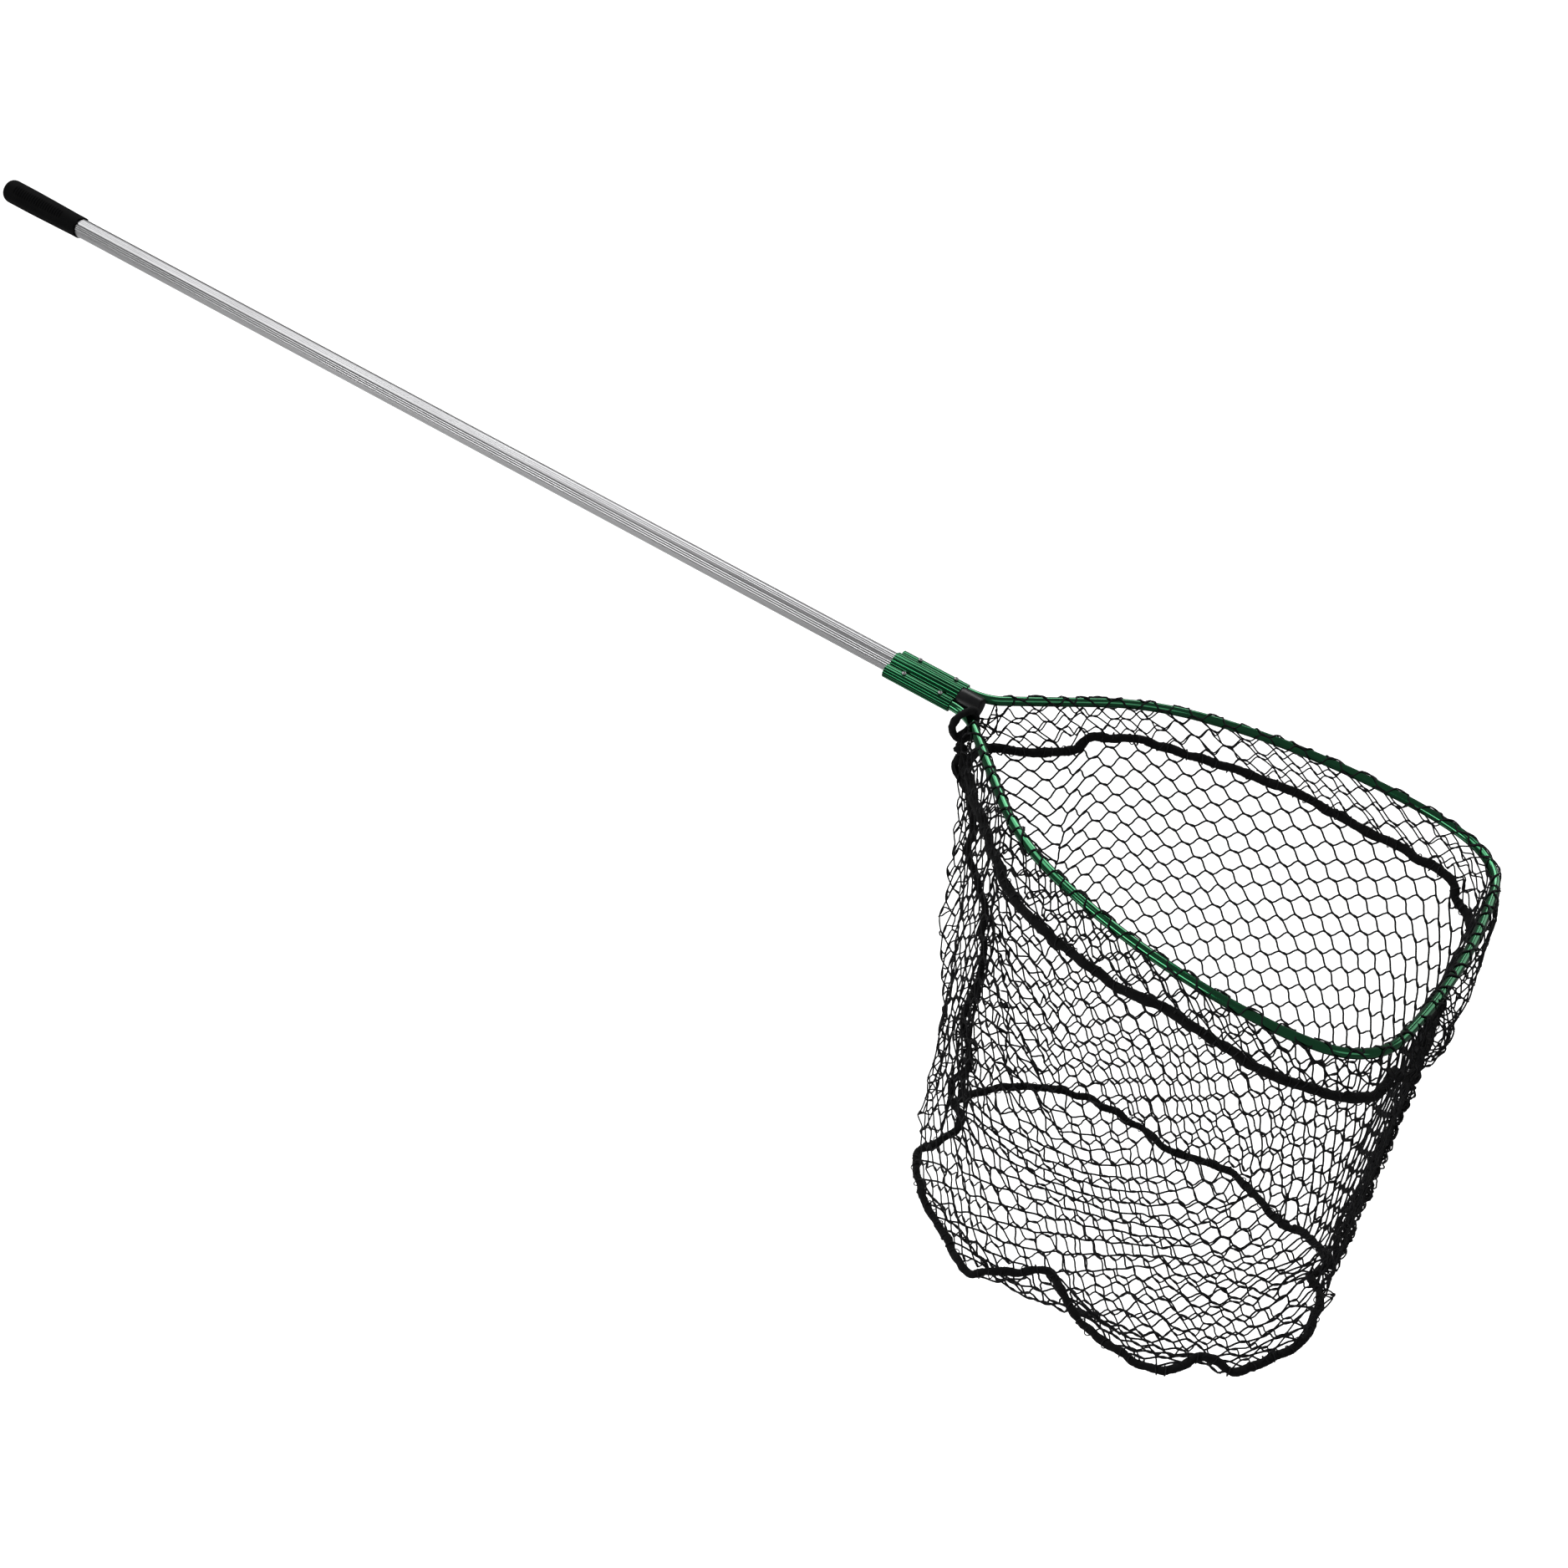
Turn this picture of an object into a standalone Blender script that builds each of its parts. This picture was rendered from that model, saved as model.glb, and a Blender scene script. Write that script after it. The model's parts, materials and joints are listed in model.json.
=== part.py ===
"""Landing net with a slide-through handle, modelled as separate pieces.

Metres, +Z up.  The net is held level by its grip, pole sloping down to the hoop, bag hanging under it.
The origin is the middle of the grip, on the pole's axis; +X is the way the pole points, seen from above.
Run with: blender --background --python part.py
"""
import math

import bmesh
import bpy
import numpy as np
from mathutils import Vector

# ---------------------------------------------------------------- driving dimensions
GAP = 0.0003                    # clearance kept between touching pieces
PITCH = math.radians(15.1)      # slope of the pole below the horizontal

GRIP_LENGTH = 0.145
GRIP_SWELL_RADIUS = 0.0175      # over the rear half
GRIP_MIDDLE_RADIUS = 0.0166
GRIP_FRONT_RADIUS = 0.0160
GRIP_SWELL = (-0.030, 0.030)    # along the pole: the swell ends, the slim front starts
GRIP_END_WALL = 0.004
BUTT_FLAT_RADIUS = 0.012
BUTT_ROUND = 0.012              # length of the butt's rounding
BUNG_LENGTH = 0.018

POLE_RADIUS = 0.0143            # over the corners: 1 1/8 inch tube
POLE_SIDES = 8
POLE_CORNER = math.radians(5)   # half the angle that a blunt corner takes up
POLE_BORE = 0.0120
YOKE_FRONT = 1.5775             # along the pole, from the origin
YOKE_LENGTH = 0.0975
YOKE_RADIUS = 0.0162            # middle lobe, over its ribs
YOKE_BORE = 0.0147
LOBE_OFFSET = 0.0224            # side lobe's axis, from the pole's axis
LOBE_RADIUS = 0.0092            # over its ribs
LOBE_BORE = 0.00665
RIB_DEPTH = 0.0007
YOKE_RIBS = 16
LOBE_RIBS = 9
RIB_RISES = (0.0, 0.85, 1.0, 0.85)  # once round a rib: groove, shoulder, crest, shoulder
GROOVE, CREST = 0, 2

PLUG_RADIUS = 0.0156
PLUG_LENGTH = 0.0315
PLUG_WALL = 0.0030
PLUG_CHAMFER = 0.0015
PLUG_SPIGOT = 0.020

HOOP_TUBE = 0.00635             # outer radius: half-inch tube
HOOP_WALL = 0.0012
HOOP_SOCKET = 0.094             # length of each arm inside the yoke
ARM_STRAIGHT = 0.1426
# The hoop's half plan after the yoke: (turn in degrees, outwards positive; radius).
ARM_BEND = (48, 0.060)
SIDE_ARCS = ((-26, 0.33), (-26, 0.65), (-11, 0.30), (-67, 0.10))

SCREW_PLACES = (-0.0722, -0.0183)   # along the pole, from the yoke's front
SCREW_HEAD_RADIUS = 0.0033
SCREW_HEAD_HEIGHT = 0.0018
SCREW_DOME = ((1.0, 0.40), (0.60, 0.85))    # shares of its height, and of its radius there
SCREW_SHANK_RADIUS = 0.0015
SCREW_LENGTH = 0.0060
SCREW_HOLE_DEPTH = 0.0090

BUTTON_PLACE = -0.025           # along the pole, from the yoke's front
BUTTON_RADIUS = 0.0035
BUTTON_BASE_RADIUS = 0.0045
BUTTON_BASE = 0.0010            # thickness of the flange that keeps the button in
BUTTON_TOP = 0.0090             # inner end, below the pole's axis
BUTTON_REACH = 0.0188           # outer end, below the pole's axis
BUTTON_EDGE = 0.0007
BUTTON_HOLE = (0.0095, 0.0215)  # from and to, below the pole's axis
SPRING_STRIP = 0.0006           # thickness
SPRING_WIDTH = 0.0060
SPRING_BEND = 0.0040            # outer radius of the turned-over end
SPRING_REAR = 0.045             # behind the button
SPRING_FRONT = 0.006            # in front of it

CUFF_ROPE_RADIUS = 0.0064
BOTTOM_ROPE_RADIUS = 0.0056
HEEL_ROPE_RADIUS = 0.0049
TIE_ROPE_RADIUS = 0.0052
KNOT_RADIUS = 0.0058
SEAM_RADIUS = 0.0065
NET_THICKNESS = 0.0015
NET_MARGIN = 0.0135             # the net's edges stop this far from the ropes' centres
BAG_SAG = 0.055                 # of the bag's floor, below its rope
FLOOR_ROWS = (1.0, 0.78, 0.52, 0.26)    # shares of the way out from the floor's middle
HEEL_TUCK = 0.070               # how far the heel wall is drawn in, half way down
HEEL_TUCK_ENDS = 0.25           # share of it that is left at the wall's top and bottom
HEEL_TUCK_WIDTH = 0.45          # radians round the bag's middle
RIM_START = 0.050               # the net's edge leaves the hoop's arms this far from the yoke
RIM_HEEL = (0.046, 0.0, -0.034) # and passes under the plug here
BAG_MIDDLE = (0.34, -0.03)      # plan point inside every loop of the bag
NET_COLUMNS = 56
WALL_ROWS = 6
FLOOR_INSET = 1.6               # the bottom loop isn't round, so the floor needs more than NET_MARGIN

TURNED_SIDES = 32               # facets round turned pieces: the grip and the plug
BUNG_SIDES = 24
BUTTON_SIDES = 20
SCREW_SIDES = 14
HOLE_SIDES = 16
BORE_SIDES = 32
ROUTE_POINTS = 400              # on a loop, before it is split into columns
SHARP_ANGLE = math.radians(35)  # edges at least this sharp are shaded sharp

# Routes, from the middle of the yoke's front face, X level and forwards, Z up.
CUFF_ROUTE = (
    (0.032, 0.030, -0.077), (0.059, 0.054, -0.086), (0.087, 0.082, -0.092), (0.114, 0.111, -0.094),
    (0.128, 0.127, -0.080), (0.176, 0.176, -0.093), (0.213, 0.203, -0.110), (0.263, 0.228, -0.127),
    (0.348, 0.256, -0.151), (0.427, 0.269, -0.179), (0.520, 0.269, -0.205), (0.588, 0.254, -0.221),
    (0.600, 0.242, -0.238), (0.626, 0.216, -0.248), (0.640, 0.180, -0.262), (0.636, 0.130, -0.274),
    (0.640, 0.060, -0.274), (0.652, -0.010, -0.268), (0.658, -0.074, -0.264), (0.660, -0.124, -0.264),
    (0.655, -0.175, -0.234), (0.651, -0.204, -0.236), (0.630, -0.245, -0.231), (0.580, -0.273, -0.215),
    (0.522, -0.281, -0.202), (0.471, -0.282, -0.186), (0.418, -0.278, -0.167), (0.344, -0.276, -0.154),
    (0.272, -0.261, -0.134), (0.221, -0.245, -0.121), (0.167, -0.201, -0.109), (0.095, -0.116, -0.092),
    (0.032, -0.034, -0.079), (0.024, 0.000, -0.076))
BOTTOM_ROUTE = (
    (0.024, -0.010, -0.620), (0.040, 0.060, -0.640), (0.075, 0.140, -0.670), (0.125, 0.193, -0.700),
    (0.205, 0.201, -0.720), (0.276, 0.180, -0.730), (0.365, 0.178, -0.730), (0.419, 0.132, -0.720),
    (0.479, 0.081, -0.710), (0.512, 0.067, -0.700), (0.575, -0.022, -0.660), (0.562, -0.060, -0.658),
    (0.582, -0.086, -0.655), (0.594, -0.140, -0.656), (0.589, -0.189, -0.660), (0.570, -0.226, -0.660),
    (0.540, -0.270, -0.662), (0.519, -0.277, -0.650), (0.494, -0.284, -0.650), (0.465, -0.314, -0.660),
    (0.410, -0.316, -0.655), (0.359, -0.304, -0.650), (0.312, -0.278, -0.630), (0.282, -0.264, -0.620),
    (0.238, -0.281, -0.630), (0.192, -0.294, -0.640), (0.154, -0.267, -0.640), (0.109, -0.226, -0.640),
    (0.060, -0.182, -0.635), (0.031, -0.135, -0.630), (0.042, -0.106, -0.620), (0.058, -0.072, -0.618),
    (0.048, -0.040, -0.615))
HEEL_ROUTE = (
    (0.0165, -0.0265, -0.0665), (0.014, -0.028, -0.078), (0.020, -0.027, -0.093), (0.032, -0.028, -0.108),
    (0.036, -0.032, -0.130), (0.042, -0.030, -0.175), (0.038, -0.030, -0.201),
    (0.052, -0.025, -0.250), (0.061, -0.020, -0.301), (0.057, -0.015, -0.384), (0.044, -0.010, -0.431),
    (0.030, -0.005, -0.473), (0.034, 0.000, -0.523), (0.036, 0.005, -0.567), (0.016, -0.004, -0.592),
    (0.018, -0.010, -0.611))
TIE_ROUTE = (
    (0.031, -0.033, 0.0042), (0.023, -0.044, -0.0002), (0.0165, -0.048, -0.0142), (0.0165, -0.041, -0.0306),
    (0.0206, -0.0298, -0.040), (0.0266, -0.021, -0.037), (0.0314, -0.0185, -0.0248), (0.035, -0.020, -0.013),
    (0.0345, -0.0235, 0.001))
KNOT_PLACE = (0.0184, -0.0265, -0.0553)
SEAM_ROUTE = (
    (0.666, -0.080, -0.285), (0.657, -0.081, -0.330), (0.646, -0.081, -0.390), (0.634, -0.080, -0.450),
    (0.622, -0.080, -0.510), (0.612, -0.079, -0.560), (0.602, -0.078, -0.610))

# ---------------------------------------------------------------- scene, collections, materials


def clear_scene():
    for old in list(bpy.data.objects):
        bpy.data.objects.remove(old, do_unlink=True)


def new_collection(name):
    made = bpy.data.collections.new(name)
    bpy.context.scene.collection.children.link(made)
    return made


def material(name, colour, roughness, metallic=0.0):
    made = bpy.data.materials.new(name)
    made.use_nodes = True
    shader = made.node_tree.nodes["Principled BSDF"]
    shader.inputs["Base Color"].default_value = (*colour, 1.0)
    shader.inputs["Roughness"].default_value = roughness
    shader.inputs["Metallic"].default_value = metallic
    return made


clear_scene()
PARTS = new_collection("landing_net")
CUTTERS = new_collection("cutters")

AXIS = bpy.data.objects.new("pole_axis", None)      # X along the pole, Z square to the hoop
AXIS.rotation_euler = (0.0, PITCH, 0.0)
PARTS.objects.link(AXIS)

ALONG = (math.cos(PITCH), 0.0, -math.sin(PITCH))
YOKE_POINT = Vector(ALONG) * YOKE_FRONT
TURN_TO_POLE = (0.0, math.pi / 2, 0.0)              # a local Z axis laid along the pole


def finish_piece(obj, look=None, on_pole=True, smooth=True, cutter=False):
    """Put an object in its collection, under its parent, with its material and shading."""
    (CUTTERS if cutter else PARTS).objects.link(obj)
    if on_pole:
        obj.parent = AXIS
    if cutter:
        obj.hide_render = True
        obj.display_type = 'WIRE'
    else:
        obj.data.materials.clear()
        obj.data.materials.append(look)
    if smooth and obj.type == 'MESH':
        obj.data.shade_smooth()
        obj.data.set_sharp_from_angle(angle=SHARP_ANGLE)
    return obj


def object_from_bmesh(name, shape):
    mesh = bpy.data.meshes.new(name)
    shape.to_mesh(mesh)
    shape.free()
    return bpy.data.objects.new(name, mesh)


def mesh_from_curve(curve_object):
    """The evaluated curve as a mesh object of the same name, with its caps welded on."""
    bpy.context.scene.collection.objects.link(curve_object)
    bpy.context.view_layer.update()
    graph = bpy.context.evaluated_depsgraph_get()
    mesh = bpy.data.meshes.new_from_object(curve_object.evaluated_get(graph))
    shape = bmesh.new()
    shape.from_mesh(mesh)
    bmesh.ops.remove_doubles(shape, verts=shape.verts, dist=0.00001)
    shape.to_mesh(mesh)
    shape.free()
    name = curve_object.name
    place = curve_object.matrix_world.copy()
    bpy.data.objects.remove(curve_object, do_unlink=True)
    mesh.name = name
    made = bpy.data.objects.new(name, mesh)
    made.matrix_world = place
    return made


def cut(target, cutter, operation='DIFFERENCE'):
    step = target.modifiers.new(cutter.name, 'BOOLEAN')
    step.operation = operation
    step.solver = 'EXACT'
    step.object = cutter


# ---------------------------------------------------------------- shape makers


def turned(name, outline, steps, look=None, cutter=False):
    """A turned piece on the pole's axis. outline: (x along the pole, radius), front to rear outside."""
    shape = bmesh.new()
    verts = [shape.verts.new((radius, 0.0, x)) for x, radius in outline]
    for first, second in zip(verts, verts[1:]):
        shape.edges.new((first, second))
    if outline[0][1] > 0 or outline[-1][1] > 0:
        shape.edges.new((verts[-1], verts[0]))
    obj = object_from_bmesh(name, shape)
    obj.rotation_euler = TURN_TO_POLE
    screw = obj.modifiers.new("turn", 'SCREW')
    screw.steps = steps
    screw.render_steps = steps
    screw.use_merge_vertices = True
    screw.merge_threshold = 0.00001
    weld = obj.modifiers.new("weld", 'WELD')
    weld.merge_threshold = 0.00001
    return finish_piece(obj, look, cutter=cutter, smooth=False)


def prism(name, outlines, x_rear, x_front, offset=0.0, look=None, cutter=False):
    """Closed outlines of (down, sideways) points, extruded along the pole between two places."""
    curve = bpy.data.curves.new(name, 'CURVE')
    curve.dimensions = '2D'
    curve.fill_mode = 'BOTH'
    curve.extrude = (x_front - x_rear) / 2
    for outline in outlines:
        spline = curve.splines.new('POLY')
        spline.points.add(len(outline) - 1)
        for point, (down, side) in zip(spline.points, outline):
            point.co = (down, side, 0.0, 1.0)
        spline.use_cyclic_u = True
    obj = bpy.data.objects.new(name, curve)
    obj = mesh_from_curve(obj)
    obj.location = ((x_rear + x_front) / 2, offset, 0.0)
    obj.rotation_euler = TURN_TO_POLE
    return finish_piece(obj, look, cutter=cutter)


def tube(name, points, radius, look, closed=False):
    curve = bpy.data.curves.new(name, 'CURVE')
    curve.dimensions = '3D'
    curve.bevel_depth = radius
    curve.bevel_resolution = 2
    curve.use_fill_caps = not closed
    spline = curve.splines.new('POLY')
    spline.points.add(len(points) - 1)
    for point, place in zip(spline.points, points):
        point.co = (*place, 1.0)
    spline.use_cyclic_u = closed
    obj = bpy.data.objects.new(name, curve)
    return finish_piece(mesh_from_curve(obj), look, on_pole=False)


def cutting_rod(name, radius, length, place):
    """A cutter for a round hole that runs square to the hoop."""
    shape = bmesh.new()
    bmesh.ops.create_cone(shape, cap_ends=True, segments=HOLE_SIDES, radius1=radius, radius2=radius,
                          depth=length)
    obj = object_from_bmesh(name, shape)
    obj.location = place
    return finish_piece(obj, cutter=True)


def circle(radius, count):
    turns = [2 * math.pi * k / count for k in range(count)]
    return [(radius * math.cos(a), radius * math.sin(a)) for a in turns]


def ribbed_circle(radius, ribs, at_top):
    """A ring of rounded ribs with narrow grooves between them, with a groove or a crest at the top."""
    points = []
    for k in range(ribs * len(RIB_RISES)):
        turn = math.pi + 2 * math.pi * (k - at_top) / (ribs * len(RIB_RISES))
        reach = radius - RIB_DEPTH * (1 - RIB_RISES[k % len(RIB_RISES)])
        points.append((reach * math.cos(turn), reach * math.sin(turn)))
    return points


def pole_outline():
    """Flat faces with blunt corners between them, one corner up, as (down, sideways) points."""
    points = []
    for k in range(POLE_SIDES):
        corner = 2 * math.pi * k / POLE_SIDES
        for turn in (corner - POLE_CORNER, corner, corner + POLE_CORNER):
            points.append((POLE_RADIUS * math.cos(turn), POLE_RADIUS * math.sin(turn)))
    return points


def smooth_route(route, count, closed):
    """count points, evenly spaced, on a Catmull-Rom curve through the route."""
    anchors = np.array(route, float)
    total = len(anchors)
    spans = total if closed else total - 1
    dense = []
    for k in range(spans):
        if closed:
            a, b, c, d = (anchors[(k + j) % total] for j in (-1, 0, 1, 2))
        else:
            a, b, c, d = (anchors[min(max(k + j, 0), total - 1)] for j in (-1, 0, 1, 2))
        for step in np.linspace(0.0, 1.0, 12, endpoint=False):
            dense.append(0.5 * (2 * b + (c - a) * step + (2 * a - 5 * b + 4 * c - d) * step ** 2
                                + (3 * b - a - 3 * c + d) * step ** 3))
    dense.append(anchors[0] if closed else anchors[-1])
    dense = np.array(dense)
    run = np.concatenate(([0.0], np.cumsum(np.linalg.norm(np.diff(dense, axis=0), axis=1))))
    wanted = np.linspace(0.0, run[-1], count, endpoint=not closed)
    return np.stack([np.interp(wanted, run, dense[:, axis]) for axis in range(3)], axis=1)


def half_hoop_plan():
    """Points of one side of the hoop's centre line, (x from the yoke's front, y), yoke to far end."""
    x, y, heading = 0.0, LOBE_OFFSET, 0.0
    points = [(-HOOP_SOCKET, y), (x, y)]

    def follow_arc(turn, radius, steps):
        nonlocal x, y, heading
        bend = math.radians(turn) / steps
        chord = 2 * radius * math.sin(abs(bend) / 2)
        for _ in range(steps):
            x += chord * math.cos(heading + bend / 2)
            y += chord * math.sin(heading + bend / 2)
            heading += bend
            points.append((x, y))

    follow_arc(*ARM_BEND, 6)
    x += ARM_STRAIGHT * math.cos(heading)
    y += ARM_STRAIGHT * math.sin(heading)
    points.append((x, y))
    for turn, radius in SIDE_ARCS:
        follow_arc(turn, radius, max(3, round(abs(turn) / 6)))
    last_turn = -90 - math.degrees(heading)         # closes square on the pole's axis
    follow_arc(last_turn, y / math.cos(heading), 4)
    return points


def hoop_plan():
    half = half_hoop_plan()
    return half + [(x, -y) for x, y in half[-2::-1]]


# ---------------------------------------------------------------- handle


def make_grip(butt):
    """The rubber sleeve: closed at the butt, swollen over its rear half, open to the pole in front."""
    front = butt + GRIP_LENGTH
    bore = POLE_RADIUS + GAP
    swell_end, slim_start = GRIP_SWELL
    rubber = material("grip_rubber", (0.012, 0.012, 0.013), 0.75)
    shoulder = (butt + BUTT_ROUND / 3, (GRIP_SWELL_RADIUS * 2 + BUTT_FLAT_RADIUS) / 3)
    turned("grip", [
        (front, bore), (front, GRIP_FRONT_RADIUS), (slim_start, GRIP_MIDDLE_RADIUS),
        (swell_end, GRIP_SWELL_RADIUS), (butt + BUTT_ROUND, GRIP_SWELL_RADIUS), shoulder,
        (butt, BUTT_FLAT_RADIUS), (butt, 0.0), (butt + GRIP_END_WALL, 0.0),
        (butt + GRIP_END_WALL, bore)], TURNED_SIDES, rubber)


def make_end_bung(rear):
    radius = POLE_BORE - GAP
    plastic = material("bung_plastic", (0.05, 0.05, 0.05), 0.6)
    turned("end_bung", [
        (rear + BUNG_LENGTH, 0.0), (rear + BUNG_LENGTH, radius), (rear, radius), (rear, 0.0)],
        BUNG_SIDES, plastic)


def make_front_plug(rim):
    """A cap over the pole's front end, with a spigot inside the bore."""
    face = rim + PLUG_LENGTH
    seat = face - PLUG_WALL
    bore = POLE_RADIUS + GAP
    spigot = POLE_BORE - GAP
    black = material("plug_plastic", (0.012, 0.012, 0.014), 0.38)
    turned("front_plug", [
        (face, 0.0), (face, PLUG_RADIUS - PLUG_CHAMFER), (face - PLUG_CHAMFER, PLUG_RADIUS),
        (rim, PLUG_RADIUS), (rim, bore), (seat, bore), (seat, spigot), (seat - PLUG_SPIGOT, spigot),
        (seat - PLUG_SPIGOT, 0.0)], TURNED_SIDES, black)
    return seat


def make_handle():
    """Everything that stays with the hand.  Gives back the pole, which is cut later."""
    butt = -GRIP_LENGTH / 2
    make_grip(butt)
    pole_rear = butt + GRIP_END_WALL + GAP
    make_end_bung(pole_rear)
    pole_front = make_front_plug(YOKE_FRONT + GAP * 2) - GAP
    silver = material("pole_aluminium", (0.62, 0.63, 0.65), 0.32, 1.0)
    return prism("pole", [pole_outline(), circle(POLE_BORE, BUNG_SIDES)], pole_rear, pole_front, look=silver)


def spring_outline(place_x):
    """The strip's two arms and the half turn that joins them, as (along the pole, up) points."""
    low = -(BUTTON_TOP - GAP)
    high = math.sqrt(POLE_BORE ** 2 - (SPRING_WIDTH / 2) ** 2) - GAP
    middle, reach = (high + low) / 2, (high - low) / 2
    rear = place_x - SPRING_REAR
    tip = place_x + SPRING_FRONT
    outer, inner = [], []
    for turn in (math.pi * k / 8 for k in range(9)):
        inward = rear + SPRING_BEND * (1 - math.sin(turn))
        outer.append((inward, middle + reach * math.cos(turn)))
        inner.append((inward + SPRING_STRIP, middle + (reach - SPRING_STRIP) * math.cos(turn)))
    return ([(tip, high)] + outer + [(tip, low), (tip, low + SPRING_STRIP)] + inner[::-1]
            + [(tip, high - SPRING_STRIP)])


def make_spring(place_x, steel):
    curve = bpy.data.curves.new("button_spring", 'CURVE')
    curve.dimensions = '2D'
    curve.fill_mode = 'BOTH'
    curve.extrude = SPRING_WIDTH / 2
    spline = curve.splines.new('POLY')
    outline = spring_outline(place_x)
    spline.points.add(len(outline) - 1)
    for point, (x, z) in zip(spline.points, outline):
        point.co = (x, z, 0.0, 1.0)
    spline.use_cyclic_u = True
    strip = mesh_from_curve(bpy.data.objects.new("button_spring", curve))
    strip.rotation_euler = (math.pi / 2, 0.0, 0.0)
    finish_piece(strip, steel)


def make_lock(pole, yoke):
    """The snap button under the pole, its hole through pole and yoke, and its spring strip."""
    place_x = YOKE_FRONT + BUTTON_PLACE
    steel = material("lock_steel", (0.55, 0.55, 0.57), 0.3, 1.0)
    flange_end = -(BUTTON_TOP + BUTTON_BASE)
    button = turned("lock_button", [
        (-BUTTON_TOP, 0.0), (-BUTTON_TOP, BUTTON_BASE_RADIUS), (flange_end, BUTTON_BASE_RADIUS),
        (flange_end, BUTTON_RADIUS), (-BUTTON_REACH + BUTTON_EDGE, BUTTON_RADIUS),
        (-BUTTON_REACH, BUTTON_RADIUS - BUTTON_EDGE), (-BUTTON_REACH, 0.0)], BUTTON_SIDES, steel)
    button.rotation_euler = (0.0, 0.0, 0.0)
    button.location = (place_x, 0.0, 0.0)
    hole_top, hole_end = BUTTON_HOLE
    hole = cutting_rod("button_hole", BUTTON_RADIUS + GAP, hole_end - hole_top,
                       (place_x, 0.0, -(hole_top + hole_end) / 2))
    cut(pole, hole)
    cut(yoke, hole)
    make_spring(place_x, steel)


# ---------------------------------------------------------------- head: yoke, hoop, screws


def make_yoke(green):
    rear = YOKE_FRONT - YOKE_LENGTH
    yoke = prism("yoke", [ribbed_circle(YOKE_RADIUS, YOKE_RIBS, GROOVE)], rear, YOKE_FRONT, look=green)
    over = 0.002                                    # how far a bore's cutter passes the ends
    for side, name in ((1, "left"), (-1, "right")):
        lobe = prism(f"lobe_{name}", [ribbed_circle(LOBE_RADIUS, LOBE_RIBS, CREST)], rear, YOKE_FRONT,
                     offset=side * LOBE_OFFSET, cutter=True)
        cut(yoke, lobe, 'UNION')
    bores = ((0.0, YOKE_BORE), (LOBE_OFFSET, LOBE_BORE), (-LOBE_OFFSET, LOBE_BORE))
    for index, (offset, radius) in enumerate(bores):
        bore = prism(f"bore_{index}", [circle(radius, BORE_SIDES)], rear - over, YOKE_FRONT + over,
                     offset=offset, cutter=True)
        cut(yoke, bore)
    return yoke


def make_hoop(green):
    plan = [(YOKE_FRONT + x, y, 0.0) for x, y in hoop_plan()]
    curve = bpy.data.curves.new("hoop", 'CURVE')
    curve.dimensions = '3D'
    curve.bevel_depth = HOOP_TUBE
    curve.bevel_resolution = 3
    spline = curve.splines.new('POLY')
    spline.points.add(len(plan) - 1)
    for point, place in zip(spline.points, plan):
        point.co = (*place, 1.0)
    hoop = mesh_from_curve(bpy.data.objects.new("hoop", curve))
    wall = hoop.modifiers.new("wall", 'SOLIDIFY')
    wall.thickness = HOOP_WALL
    wall.offset = -1.0
    return finish_piece(hoop, green)


def make_screws(yoke, hoop):
    steel = material("screw_steel", (0.72, 0.72, 0.73), 0.25, 1.0)
    seat = LOBE_RADIUS + GAP
    number = 0
    for side in (1, -1):
        for along in SCREW_PLACES:
            number += 1
            x, y = YOKE_FRONT + along, side * LOBE_OFFSET
            hole = cutting_rod(f"screw_hole_{number}", SCREW_SHANK_RADIUS + GAP, SCREW_HOLE_DEPTH,
                               (x, y, seat + SCREW_HEAD_HEIGHT - SCREW_HOLE_DEPTH / 2))
            cut(yoke, hole)
            cut(hoop, hole)
            dome = [(SCREW_HEAD_HEIGHT * high, SCREW_HEAD_RADIUS * wide) for high, wide in SCREW_DOME]
            outline = ([(SCREW_HEAD_HEIGHT, 0.0)] + dome
                       + [(0.0, SCREW_HEAD_RADIUS), (0.0, SCREW_SHANK_RADIUS),
                          (-SCREW_LENGTH, SCREW_SHANK_RADIUS), (-SCREW_LENGTH, 0.0)])
            screw = turned(f"hoop_screw_{number}", outline, SCREW_SIDES, steel)
            screw.rotation_euler = (0.0, 0.0, 0.0)
            screw.location = (x, y, seat)


# ---------------------------------------------------------------- bag


def at_yoke(points):
    return [tuple(YOKE_POINT + Vector(point)) for point in points]


def loop_by_angle(points, middle):
    """NET_COLUMNS points of a closed loop, at even angles round a plan point, heel first."""
    points = np.array(points)
    angles = np.arctan2(points[:, 1] - middle[1], -(points[:, 0] - middle[0])) % (2 * math.pi)
    order = np.argsort(angles)
    angles, points = angles[order], points[order]
    angles = np.concatenate((angles - 2 * math.pi, angles, angles + 2 * math.pi))
    points = np.concatenate((points, points, points))
    wanted = np.arange(NET_COLUMNS) * 2 * math.pi / NET_COLUMNS
    return np.stack([np.interp(wanted, angles, points[:, axis]) for axis in range(3)], axis=1)


def hoop_rim():
    """The loop that the net is folded over: the hoop, closed below the plug at the heel."""
    rim = []
    for x, y in hoop_plan():
        if x > RIM_START:
            rim.append((x * math.cos(PITCH), y, -x * math.sin(PITCH)))
    return rim + [RIM_HEEL]


def shrink_gap(start, end, margin_start, margin_end, share):
    """A point between two loops, kept clear of the tubes that run along them."""
    reach = np.linalg.norm(end - start, axis=1, keepdims=True)
    low = margin_start / reach
    high = 1.0 - margin_end / reach
    return start + (end - start) * (low + (high - low) * share)


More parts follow.
